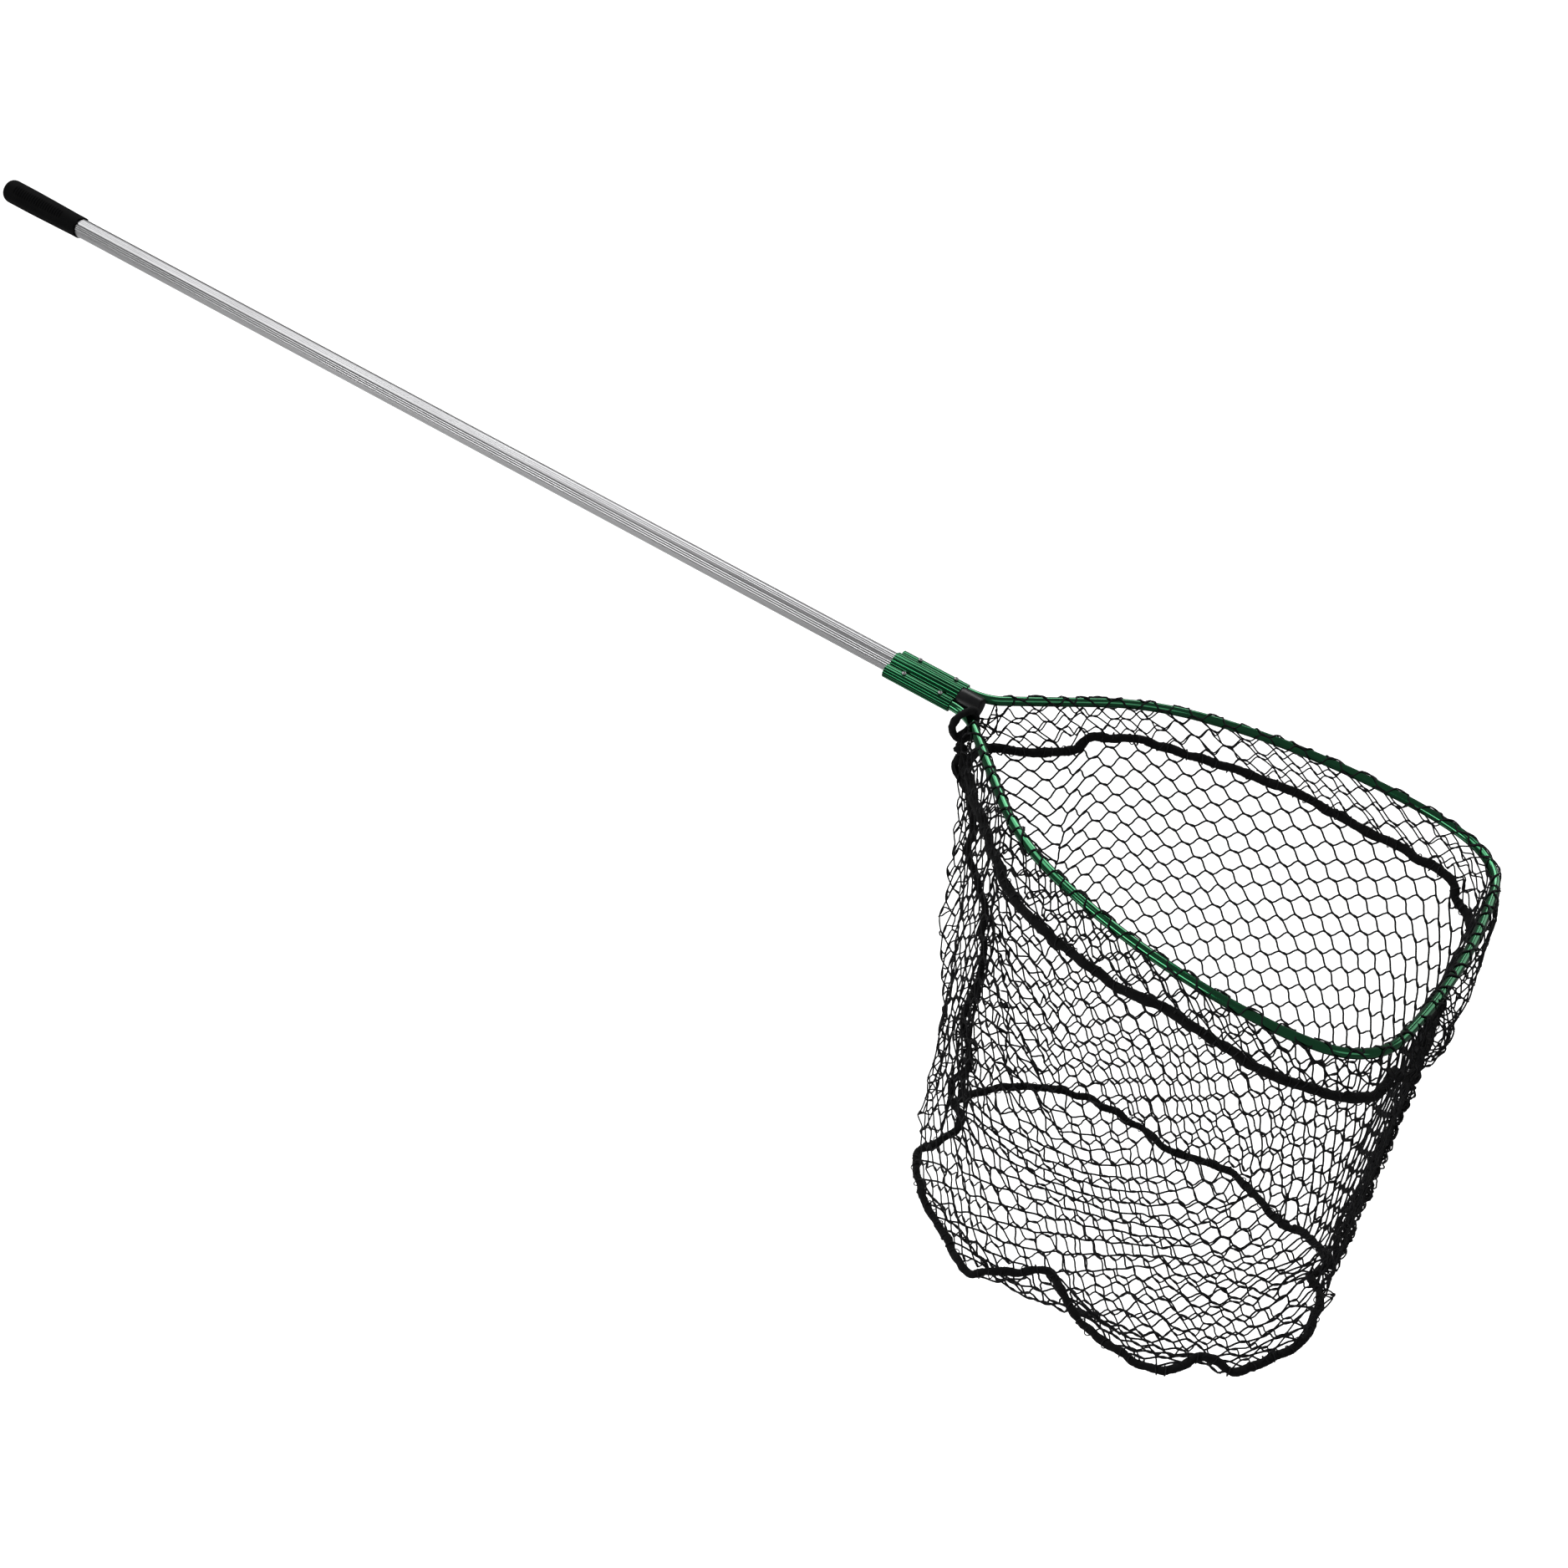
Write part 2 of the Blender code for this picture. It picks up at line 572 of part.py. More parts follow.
def loft(name, rows, look, closed_floor=False):
    shape = bmesh.new()
    grid = [[shape.verts.new(point) for point in row] for row in rows]
    count = len(grid[0])
    for upper, lower in zip(grid, grid[1:]):
        for k in range(count):
            n = (k + 1) % count
            shape.faces.new((upper[k], lower[k], lower[n], upper[n]))
    if closed_floor:
        shape.faces.new(grid[-1])
    bmesh.ops.recalc_face_normals(shape, faces=shape.faces)
    obj = object_from_bmesh(name, shape)
    thick = obj.modifiers.new("thickness", 'SOLIDIFY')
    thick.thickness = NET_THICKNESS
    thick.offset = 0.0
    return finish_piece(obj, look, on_pole=False)


def make_bag():
    netting = material("netting", (0.02, 0.02, 0.022), 0.6)
    origin = np.array(YOKE_POINT)
    rim = loop_by_angle(smooth_route(hoop_rim(), ROUTE_POINTS, True), BAG_MIDDLE) + origin
    cuff = loop_by_angle(smooth_route(CUFF_ROUTE, ROUTE_POINTS, True), BAG_MIDDLE) + origin
    floor = loop_by_angle(smooth_route(BOTTOM_ROUTE, ROUTE_POINTS, True), BAG_MIDDLE) + origin

    rows = [shrink_gap(rim, cuff, NET_MARGIN, NET_MARGIN, share) for share in (0.0, 0.5, 1.0)]
    loft("net_cuff", rows, netting)

    turns = np.arange(NET_COLUMNS) * 2 * math.pi / NET_COLUMNS
    from_heel = np.minimum(turns, 2 * math.pi - turns)
    heel_share = np.exp(-(from_heel / HEEL_TUCK_WIDTH) ** 2)[:, None]
    rows = []
    for share in np.linspace(0.0, 1.0, WALL_ROWS):
        row = shrink_gap(cuff, floor, NET_MARGIN, NET_MARGIN, share)
        deepen = HEEL_TUCK_ENDS + (1 - HEEL_TUCK_ENDS) * math.sin(math.pi * share)
        rows.append(row + HEEL_TUCK * deepen * heel_share * np.array((1.0, 0.0, 0.0)))
    loft("net_wall", rows, netting)

    centre = floor.mean(axis=0)
    spread = np.linalg.norm(floor[:, :2] - centre[:2], axis=1).mean()
    edge = 1.0 - NET_MARGIN / spread * FLOOR_INSET
    rows = []
    for share in FLOOR_ROWS:
        row = centre + (floor - centre) * share * edge
        row[:, 2] -= BAG_SAG * (1 - share ** 2)
        rows.append(row)
    loft("net_bottom", rows, netting, closed_floor=True)


def make_ropes():
    rope = material("rope_braid", (0.012, 0.012, 0.013), 0.9)
    seam = material("seam_netting", (0.022, 0.022, 0.025), 0.7)
    tube("cuff_rope", at_yoke(smooth_route(CUFF_ROUTE, 80, True)), CUFF_ROPE_RADIUS, rope, True)
    tube("bottom_rope", at_yoke(smooth_route(BOTTOM_ROUTE, 80, True)), BOTTOM_ROPE_RADIUS, rope, True)
    tube("heel_rope", at_yoke(smooth_route(HEEL_ROUTE, 30, False)), HEEL_ROPE_RADIUS, rope)
    tube("tie_loop", at_yoke(smooth_route(TIE_ROUTE, 30, True)), TIE_ROPE_RADIUS, rope, True)
    tube("toe_seam", at_yoke(smooth_route(SEAM_ROUTE, 16, False)), SEAM_RADIUS, seam)

    shape = bmesh.new()
    bmesh.ops.create_uvsphere(shape, u_segments=16, v_segments=10, radius=KNOT_RADIUS)
    knot = object_from_bmesh("tie_knot", shape)
    knot.location = YOKE_POINT + Vector(KNOT_PLACE)
    finish_piece(knot, rope, on_pole=False)


# ---------------------------------------------------------------- the whole net

pole_piece = make_handle()
anodised = material("green_anodised", (0.01, 0.19, 0.08), 0.22, 1.0)
yoke_piece = make_yoke(anodised)
hoop_piece = make_hoop(anodised)
make_screws(yoke_piece, hoop_piece)
make_lock(pole_piece, yoke_piece)
make_bag()
make_ropes()
bpy.context.view_layer.update()
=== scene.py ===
"""Looks of the landing net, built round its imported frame.

Metres, +Z up, in the frame's own axes: the origin is in the middle of the grip, and +X is the way the
pole points, seen from above.  The bag is knitted mesh by mesh: at every joint two twines are twisted
together, and each twine runs on from joint to joint.
"""
import json
import math

import bmesh
import bpy
import numpy as np
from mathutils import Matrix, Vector
from mathutils.kdtree import KDTree


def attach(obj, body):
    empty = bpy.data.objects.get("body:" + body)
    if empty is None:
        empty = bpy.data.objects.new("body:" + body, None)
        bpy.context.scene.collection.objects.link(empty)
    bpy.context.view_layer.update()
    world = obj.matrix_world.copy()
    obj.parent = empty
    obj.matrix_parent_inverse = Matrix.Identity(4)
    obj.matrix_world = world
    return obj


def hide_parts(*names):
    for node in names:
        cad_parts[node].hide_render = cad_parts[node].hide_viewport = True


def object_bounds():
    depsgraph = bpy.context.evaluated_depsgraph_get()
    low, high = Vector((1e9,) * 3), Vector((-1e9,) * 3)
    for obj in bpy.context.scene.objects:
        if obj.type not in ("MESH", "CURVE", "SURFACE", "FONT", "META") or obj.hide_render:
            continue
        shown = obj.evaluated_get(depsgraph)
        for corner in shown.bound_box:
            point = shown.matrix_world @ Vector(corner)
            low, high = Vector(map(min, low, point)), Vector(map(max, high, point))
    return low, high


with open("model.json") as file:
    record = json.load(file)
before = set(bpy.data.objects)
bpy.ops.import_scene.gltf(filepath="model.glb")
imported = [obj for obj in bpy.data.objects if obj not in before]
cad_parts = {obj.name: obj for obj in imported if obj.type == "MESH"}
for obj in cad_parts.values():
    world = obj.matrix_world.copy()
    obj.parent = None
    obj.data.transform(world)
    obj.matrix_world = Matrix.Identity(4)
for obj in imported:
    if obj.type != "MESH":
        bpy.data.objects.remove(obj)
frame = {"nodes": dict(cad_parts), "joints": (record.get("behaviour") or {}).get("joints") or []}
CAD_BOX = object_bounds()
RANDOM = np.random.default_rng(7)

# ---------------------------------------------------------------- directions and places, from the frame
AXES = {joint["name"]: np.array(joint["axis"]) for joint in frame["joints"]}
ALONG = -AXES["head_slide"]                 # the pole's axis, towards the hoop
SQUARE = AXES["lock_press"]                 # square to the hoop, upwards
SIDE = np.array((0.0, 1.0, 0.0))
POLE_FRAME = np.stack((ALONG, SIDE, SQUARE), axis=1)
PITCH = math.atan2(-ALONG[2], ALONG[0])
DOWN = np.array((0.0, 0.0, -1.0))


def span(node):
    """Where a node starts and ends along the pole."""
    corners = np.array([vert.co for vert in frame["nodes"][node].data.vertices])
    places = corners @ ALONG
    return places.min(), places.max()


def on_pole(points):
    """Points given as (along the pole, sideways, square to the hoop), in the frame's axes."""
    return np.asarray(points, float) @ POLE_FRAME.T


GRIP_REAR, GRIP_FRONT = span("grip")
POLE_REAR, POLE_FRONT = span("pole")
YOKE_REAR, YOKE_FRONT = span("yoke")
PLUG_REAR, PLUG_FRONT = span("front_plug")
YOKE_POINT = ALONG * YOKE_FRONT

# ---------------------------------------------------------------- sizes of what is drawn finer
POLE_RADIUS = 0.0143
POLE_SIDES = 8
POLE_CORNER = math.radians(5)
FACE_RIBS = 3
FACE_RIB_DEPTH = 0.00028
PLUG_RADIUS = 0.0156
LOBE_OFFSET = 0.0224
YOKE_RADIUS = 0.0162
YOKE_BORE = 0.0147
YOKE_RIBS = 16
LOBE_RADIUS = 0.0092
LOBE_BORE = 0.00665
LOBE_RIBS = 9
RIB_DEPTH = 0.0007
SCREW_PLACES = (-0.0722, -0.0183)           # along the pole, from the yoke's front
SCREW_HEAD_RADIUS = 0.0033
BUTTON_PLACE = -0.025
BUTTON_RADIUS = 0.0035
BUTTON_GAP = 0.0003
BUTTON_HOLE = (-0.0220, -0.0110)            # from below the yoke to inside its bore, square to the hoop

HOOP_TUBE = 0.00635
HOOP_SOCKET = 0.094
ARM_BEND = (48, 0.060)                      # turn in degrees, outwards positive; radius
ARM_STRAIGHT = 0.1426
SIDE_ARCS = ((-26, 0.33), (-26, 0.65), (-11, 0.30), (-67, 0.10))

CUFF_ROPE_RADIUS = 0.0064
BOTTOM_ROPE_RADIUS = 0.0056
HEEL_ROPE_RADIUS = 0.0049
TIE_ROPE_RADIUS = 0.0052

# Routes, from the middle of the yoke's front face, X level and forwards, Z up.
CUFF_ROUTE = (
    (0.032, 0.030, -0.077), (0.059, 0.054, -0.086), (0.087, 0.082, -0.092), (0.114, 0.111, -0.094),
    (0.128, 0.127, -0.080), (0.176, 0.176, -0.093), (0.213, 0.203, -0.110), (0.263, 0.228, -0.127),
    (0.348, 0.256, -0.151), (0.427, 0.269, -0.179), (0.520, 0.269, -0.205), (0.588, 0.254, -0.221),
    (0.600, 0.242, -0.238), (0.626, 0.216, -0.248), (0.640, 0.180, -0.262), (0.636, 0.130, -0.274),
    (0.640, 0.060, -0.274), (0.652, -0.010, -0.268), (0.658, -0.074, -0.264), (0.660, -0.124, -0.264),
    (0.655, -0.175, -0.234), (0.651, -0.204, -0.236), (0.630, -0.245, -0.231), (0.580, -0.273, -0.215),
    (0.522, -0.281, -0.202), (0.471, -0.282, -0.186), (0.418, -0.278, -0.167), (0.344, -0.276, -0.154),
    (0.272, -0.261, -0.134), (0.221, -0.245, -0.121), (0.167, -0.201, -0.109), (0.095, -0.116, -0.092),
    (0.032, -0.034, -0.079), (0.024, 0.000, -0.076))
BOTTOM_ROUTE = (
    (0.024, -0.010, -0.620), (0.040, 0.060, -0.640), (0.075, 0.140, -0.670), (0.125, 0.193, -0.700),
    (0.205, 0.201, -0.720), (0.276, 0.180, -0.730), (0.365, 0.178, -0.730), (0.419, 0.132, -0.720),
    (0.479, 0.081, -0.710), (0.512, 0.067, -0.700), (0.575, -0.022, -0.660), (0.562, -0.060, -0.658),
    (0.582, -0.086, -0.655), (0.594, -0.140, -0.656), (0.589, -0.189, -0.660), (0.570, -0.226, -0.660),
    (0.540, -0.270, -0.662), (0.519, -0.277, -0.650), (0.494, -0.284, -0.650), (0.465, -0.314, -0.660),
    (0.410, -0.316, -0.655), (0.359, -0.304, -0.650), (0.312, -0.278, -0.630), (0.282, -0.264, -0.620),
    (0.238, -0.281, -0.630), (0.192, -0.294, -0.640), (0.154, -0.267, -0.640), (0.109, -0.226, -0.640),
    (0.060, -0.182, -0.635), (0.031, -0.135, -0.630), (0.042, -0.106, -0.620), (0.058, -0.072, -0.618),
    (0.048, -0.040, -0.615))
HEEL_ROUTE = (
    (0.0165, -0.0265, -0.0665), (0.014, -0.028, -0.078), (0.020, -0.027, -0.093), (0.032, -0.028, -0.108),
    (0.036, -0.032, -0.130), (0.042, -0.030, -0.175), (0.038, -0.030, -0.201),
    (0.052, -0.025, -0.250), (0.061, -0.020, -0.301), (0.057, -0.015, -0.384), (0.044, -0.010, -0.431),
    (0.030, -0.005, -0.473), (0.034, 0.000, -0.523), (0.036, 0.005, -0.567), (0.016, -0.004, -0.592),
    (0.018, -0.010, -0.611))
TIE_ROUTE = (
    (0.031, -0.033, 0.0042), (0.023, -0.044, -0.0002), (0.0165, -0.048, -0.0142),
    (0.0165, -0.041, -0.0306), (0.0206, -0.0298, -0.040), (0.0266, -0.021, -0.037),
    (0.0314, -0.0185, -0.0248), (0.035, -0.020, -0.013), (0.0345, -0.0235, 0.001))
KNOT_PLACE = (0.0184, -0.0265, -0.0553)
KNOT_REACH = 0.0062
TURN_ROUTE = (                              # the tie's second turn, across its loop
    (0.0170, -0.0382, -0.0352), (0.0215, -0.0321, -0.0320), (0.0264, -0.0259, -0.0275),
    (0.0309, -0.0213, -0.0212), (0.0347, -0.0179, -0.0146))
TAIL_ROUTE = (                              # the tie's loose end, down beside the heel rope
    (0.0240, -0.0270, -0.0600), (0.0235, -0.0300, -0.0760), (0.0275, -0.0310, -0.0930),
    (0.0330, -0.0330, -0.1100))
SEAM_ROUTE = (
    (0.666, -0.080, -0.285), (0.657, -0.081, -0.330), (0.646, -0.081, -0.390), (0.634, -0.080, -0.450),
    (0.622, -0.080, -0.510), (0.612, -0.079, -0.560), (0.602, -0.078, -0.610))
RIM_START = 0.036                           # the net leaves the hoop's arms this far from the yoke
RIM_HEEL = (0.041, 0.0, -0.031)             # and passes under the plug here

# ---------------------------------------------------------------- the netting's own sizes
LEG = 0.0177                                # twine between two joints
JOINT = 0.0115                              # length of a twisted joint
TWINE = 0.00110                             # radius
LOOSE_TWINE = 0.00138                       # and where it is slacker: the wall's far half and the floor
LACING_TWINE = 0.00080                      # round the ropes
TWIST = 0.00078                             # how far a joint's two twines stand off its middle
COLUMNS = 96                                # half meshes round the bag
CUFF_LOOSE = 0.0016                         # how far the cuff stands off the top of the hoop
GATHER = 0.80                               # share of the width lost where the toe seam gathers the net
GATHER_COLUMNS = 2.6                        # how many columns on each side of the seam it draws in
HEEL_BULGE = 0.014                          # how far the net stands out beside the heel rope
LEG_NOISE = 0.030                           # spread of the legs' lengths, as a share
STRUT_NOISE = 0.035
TIGHT = 1.0                                 # how strongly stretched twine draws its ends together,
LOOSE = 0.5                                 # how strongly a slack leg pushes them apart,
STRUT_FORCE = 0.14                          # and how strongly a mesh keeps its width and height
FLOOR_MESH = (0.0212, 0.0147)               # half a mesh's width, and a row's depth
FLOOR_SLACK = 1.12                          # the floor's legs, against a taut sheet's
BAG_SAG = 0.050                             # how far the floor hangs below its rope
SAG_EDGE = 0.070                            # and how soon it gets there
BELLY_DROP = 0.105                          # how much lower the floor hangs where its rope is drawn up
BELLY_PLACE = (0.275, -0.205)               # in plan, from the middle of the yoke's front
BELLY_REACH = 0.095
BELLY_EDGE = 0.030
ROPE_WOBBLE = 0.0014                        # how far the laced ropes stray from their routes
ROPE_WAVE = 0.022                           # over what length
LACING_STEP = 0.0215
JOINT_RINGS = 5                             # rings of points along a joint's twine
TWINE_SIDES = 5
SECTION_POINTS = 60                         # on a section through the cuff


def unit(vectors):
    """The same directions, one metre long."""
    vectors = np.asarray(vectors, float)
    return vectors / (np.linalg.norm(vectors, axis=-1, keepdims=True) + 1e-12)


# ---------------------------------------------------------------- materials


class Look:
    """A material whose colour, roughness and bump come from noise in the frame's own metres."""

    def __init__(self, name, metallic=0.0, roughness=0.5):
        self.material = bpy.data.materials.new(name)
        self.material.use_nodes = True
        self.nodes = self.material.node_tree.nodes
        self.links = self.material.node_tree.links
        self.shader = self.nodes["Principled BSDF"]
        self.shader.inputs["Metallic"].default_value = metallic
        self.shader.inputs["Roughness"].default_value = roughness

    def set(self, **values):
        for name, value in values.items():
            self.shader.inputs[name.replace("_", " ")].default_value = value
        return self

    def noise(self, size, stretch=(1.0, 1.0, 1.0), detail=3.0):
        """Noise with lumps of about that size, drawn out along the pole, across it and square to it."""
        place = self.nodes.new("ShaderNodeTexCoord")
        turn = self.nodes.new("ShaderNodeMapping")
        turn.vector_type = 'TEXTURE'
        turn.inputs["Rotation"].default_value = (0.0, PITCH, 0.0)
        turn.inputs["Scale"].default_value = stretch
        noise = self.nodes.new("ShaderNodeTexNoise")
        noise.inputs["Scale"].default_value = 1.0 / size
        noise.inputs["Detail"].default_value = detail
        self.links.new(place.outputs["Object"], turn.inputs["Vector"])
        self.links.new(turn.outputs["Vector"], noise.inputs["Vector"])
        return noise.outputs["Fac"]

    def colour(self, source, dark, light, low=0.3, high=0.7):
        ramp = self.nodes.new("ShaderNodeValToRGB")
        first, last = ramp.color_ramp.elements
        first.position, first.color = low, (*dark, 1.0)
        last.position, last.color = high, (*light, 1.0)
        self.links.new(source, ramp.inputs["Fac"])
        self.links.new(ramp.outputs["Color"], self.shader.inputs["Base Color"])
        return self

    def roughness(self, source, low, high):
        spread = self.nodes.new("ShaderNodeMapRange")
        spread.inputs["From Min"].default_value = 0.3
        spread.inputs["From Max"].default_value = 0.7
        spread.inputs["To Min"].default_value = low
        spread.inputs["To Max"].default_value = high
        self.links.new(source, spread.inputs["Value"])
        self.links.new(spread.outputs["Result"], self.shader.inputs["Roughness"])
        return self

    def bump(self, source, depth, strength=0.6):
        bump = self.nodes.new("ShaderNodeBump")
        bump.inputs["Distance"].default_value = depth
        bump.inputs["Strength"].default_value = strength
        self.links.new(source, bump.inputs["Height"])
        self.links.new(bump.outputs["Normal"], self.shader.inputs["Normal"])
        return self


def aluminium_look():
    look = Look("brushed_aluminium", metallic=1.0)
    lines = look.noise(0.0007, stretch=(220.0, 1.0, 1.0), detail=2.0)
    clouds = look.noise(0.03, stretch=(4.0, 1.0, 1.0))
    look.colour(lines, (0.55, 0.55, 0.56), (0.64, 0.64, 0.65))
    look.roughness(clouds, 0.26, 0.34)
    return look.bump(lines, 0.00002, 0.35).material


def anodised_look(name, dark, light, coat):
    look = Look(name, metallic=1.0)
    lines = look.noise(0.0009, stretch=(60.0, 1.0, 1.0), detail=2.0)
    clouds = look.noise(0.02)
    look.colour(clouds, dark, light)
    look.roughness(clouds, 0.11, 0.16)
    look.set(Coat_Weight=coat, Coat_Roughness=0.05, Coat_IOR=1.6)
    return look.bump(lines, 0.000004, 0.1).material


def rubber_look():
    look = Look("grip_rubber")
    grain = look.noise(0.0009, detail=4.0)
    wear = look.noise(0.012)
    look.colour(wear, (0.0022, 0.0022, 0.0025), (0.005, 0.005, 0.0055))
    look.roughness(grain, 0.6, 0.8)
    look.set(Specular_IOR_Level=0.12)
    return look.bump(grain, 0.00012, 0.5).material


def plastic_look(name, dark, light, low, high):
    look = Look(name)
    grain = look.noise(0.0006)
    scuffs = look.noise(0.008, stretch=(3.0, 1.0, 1.0), detail=5.0)
    look.colour(scuffs, dark, light)
    look.roughness(scuffs, low, high)
    return look.bump(grain, 0.00005, 0.3).material


def steel_look(name, low, high):
    look = Look(name, metallic=1.0)
    grain = look.noise(0.0004, detail=4.0)
    look.colour(grain, (0.60, 0.60, 0.61), (0.78, 0.78, 0.79))
    look.roughness(grain, low, high)
    return look.bump(grain, 0.00001, 0.3).material


def rope_look():
    look = Look("rope_braid")
    fibres = look.noise(0.0007, detail=6.0)
    patches = look.noise(0.006)
    look.colour(patches, (0.006, 0.006, 0.0065), (0.013, 0.013, 0.014))
    look.roughness(fibres, 0.8, 1.0)
    look.set(Sheen_Weight=0.06, Sheen_Roughness=0.5, Specular_IOR_Level=0.25)
    return look.bump(fibres, 0.0006, 0.9).material


def twine_look(name, dark, light, low, high):
    look = Look(name)
    patches = look.noise(0.009, detail=4.0)
    skin = look.noise(0.0012)
    look.colour(patches, dark, light)
    look.roughness(skin, low, high)
    look.set(Specular_IOR_Level=0.25)
    return look.bump(skin, 0.0002, 0.5).material


def floor_look():
    look = Look("pale_floor")
    clouds = look.noise(0.9)
    look.colour(clouds, (0.86, 0.86, 0.86), (0.90, 0.90, 0.90))
    return look.roughness(clouds, 0.8, 0.95).material


ALUMINIUM = aluminium_look()
HOOP_ANODISED = anodised_look("hoop_anodised", (0.009, 0.21, 0.070), (0.014, 0.25, 0.086), 0.9)
# Same anodising as the hoop, with its colour darkened: painted shade.
YOKE_ANODISED_PAINTED_SHADE = anodised_look("yoke_anodised_painted_shade", (0.004, 0.12, 0.040), (0.008, 0.15, 0.053), 0.3)
RUBBER = rubber_look()
PLUG_PLASTIC = plastic_look("plug_plastic", (0.006, 0.006, 0.007), (0.012, 0.012, 0.013), 0.28, 0.42)
BUNG_PLASTIC = plastic_look("bung_plastic", (0.03, 0.03, 0.03), (0.06, 0.06, 0.06), 0.5, 0.7)
SCREW_STEEL = steel_look("screw_steel", 0.30, 0.42)
LOCK_STEEL = steel_look("lock_steel", 0.22, 0.35)
ROPE = rope_look()
TWINE_LOOK = twine_look("netting_twine", (0.007, 0.007, 0.008), (0.018, 0.018, 0.021), 0.45, 0.60)
# The lacing is the netting's own twine crossing the ropes; its lighter colour is a painted highlight.
LACING_PAINTED_HIGHLIGHT = twine_look("lacing_twine_painted_highlight", (0.012, 0.012, 0.014), (0.036, 0.036, 0.040), 0.45, 0.65)

# ---------------------------------------------------------------- mesh making


def new_object(name, data):
    """An object with this data, in the scene."""
    made = bpy.data.objects.new(name, data)
    bpy.context.scene.collection.objects.link(made)
    return made


def add_piece(name, made, look, body, nodes=(), sharp=40):
    """A mesh from (points, blocks of faces), each block an array of faces with as many corners."""
    points, face_blocks = made
    loops = np.concatenate([block.ravel() for block in face_blocks]).astype(np.int32)
    sizes = np.concatenate([np.full(len(block), block.shape[1]) for block in face_blocks])
    starts = np.concatenate(([0], np.cumsum(sizes)[:-1])).astype(np.int32)
    mesh = bpy.data.meshes.new(name)
    mesh.vertices.add(len(points))
    mesh.vertices.foreach_set("co", np.asarray(points, np.float32).ravel())
    mesh.loops.add(len(loops))
    mesh.loops.foreach_set("vertex_index", loops)
    mesh.polygons.add(len(starts))
    mesh.polygons.foreach_set("loop_start", starts)
    mesh.update(calc_edges=True)
    mesh.validate()
    mesh.shade_smooth()
    if sharp:
        mesh.set_sharp_from_angle(angle=math.radians(sharp))
    return place_piece(new_object(name, mesh), look, body, nodes)


def place_piece(obj, look, body, nodes=()):
    """Give an object its material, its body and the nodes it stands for."""
    obj.data.materials.clear()
    obj.data.materials.append(look)
    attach(obj, body)
    if nodes:
        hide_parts(*nodes)
    return obj


def bands(rings, following, sides):
    """Quads from numbered rings of points to the rings that follow them."""
    side = np.arange(sides)[None, :]
    beside = (side + 1) % sides
    rings, following = rings.reshape(-1, 1) * sides, following.reshape(-1, 1) * sides
    corners = (rings + side, rings + beside, following + beside, following + side)
    return np.stack(corners, axis=-1).reshape(-1, 4)


def ring_faces(rings, sides, closed):
    """Quads between rings of points, and a cap on each end of an open tube."""
    numbers, around = np.arange(rings), np.arange(sides)[None, :]
    if closed:
        return [bands(numbers, np.roll(numbers, -1), sides)]
    return [bands(numbers[:-1], numbers[1:], sides), around[:, ::-1], (rings - 1) * sides + around]


def carried_frames(points, closed):
    """Tangents and a pair of square directions at each point, carried along without twisting."""
    if closed:
        tangents = unit(np.roll(points, -1, axis=0) - np.roll(points, 1, axis=0))
    else:
        tangents = unit(np.gradient(points, axis=0))
    start = np.cross(tangents[0], SQUARE if abs(tangents[0] @ SQUARE) < 0.9 else SIDE)
    firsts = [unit(start)]
    for tangent in tangents[1:]:
        carried = firsts[-1] - tangent * (firsts[-1] @ tangent)
        firsts.append(unit(carried))
    firsts = np.array(firsts)
    seconds = np.cross(tangents, firsts)
    if closed:
        end = firsts[-1] - tangents[0] * (firsts[-1] @ tangents[0])
        slip = math.atan2(end @ seconds[0], end @ firsts[0])
        turns = -slip * np.arange(len(points)) / len(points)
        cos, sin = np.cos(turns)[:, None], np.sin(turns)[:, None]
        firsts, seconds = firsts * cos + seconds * sin, seconds * cos - firsts * sin
    return tangents, firsts, seconds


def tube(points, radii, closed=False):
    """Points and faces of a tube; radii has a row for each point and a column for each side."""
    sides = radii.shape[1]
    _, firsts, seconds = carried_frames(points, closed)
    turns = 2 * math.pi * np.arange(sides) / sides
    rings = (points[:, None] + radii[..., None] * (np.cos(turns)[None, :, None] * firsts[:, None]
                                                   + np.sin(turns)[None, :, None] * seconds[:, None]))
    return rings.reshape(-1, 3), ring_faces(len(points), sides, closed)


def joined(parts):
    """Several (points, faces) as one."""
    points, blocks, offset = [], [], 0
    for some_points, some_blocks in parts:
        points.append(some_points)
        blocks += [block + offset for block in some_blocks]
        offset += len(some_points)
    return np.concatenate(points), blocks


def run_of(points):
    """How far each point is along its line."""
    return np.concatenate(([0.0], np.cumsum(np.linalg.norm(np.diff(points, axis=0), axis=1))))


def points_at(points, wanted):
    """Points at distances along a line of points."""
    run = run_of(points)
    return np.stack([np.interp(wanted, run, points[:, axis]) for axis in range(3)], axis=1)


def resampled(points, count, closed):
    """count points, evenly spaced, along a line of points."""
    points = np.asarray(points, float)
    if closed:
        points = np.concatenate((points, points[:1]))
    return points_at(points, np.linspace(0.0, run_of(points)[-1], count, endpoint=not closed))


def smooth_route(route, count, closed):
    """count points, evenly spaced, on a Catmull-Rom curve through the route."""
    anchors = np.array(route, float)
    total = len(anchors)
    dense = []
    for k in range(total if closed else total - 1):
        if closed:
            a, b, c, d = (anchors[(k + j) % total] for j in (-1, 0, 1, 2))
        else:
            a, b, c, d = (anchors[min(max(k + j, 0), total - 1)] for j in (-1, 0, 1, 2))
        for step in np.linspace(0.0, 1.0, 12, endpoint=False):
            dense.append(0.5 * (2 * b + (c - a) * step + (2 * a - 5 * b + 4 * c - d) * step ** 2
                                + (3 * b - a - 3 * c + d) * step ** 3))
    if not closed:
        dense.append(anchors[-1])
    return resampled(dense, count, closed)


def length_of(points, closed=False):
    """The length of a line of points."""
    ends = np.concatenate((points, points[:1])) if closed else points
    return np.linalg.norm(np.diff(ends, axis=0), axis=1).sum()


# ---------------------------------------------------------------- handle


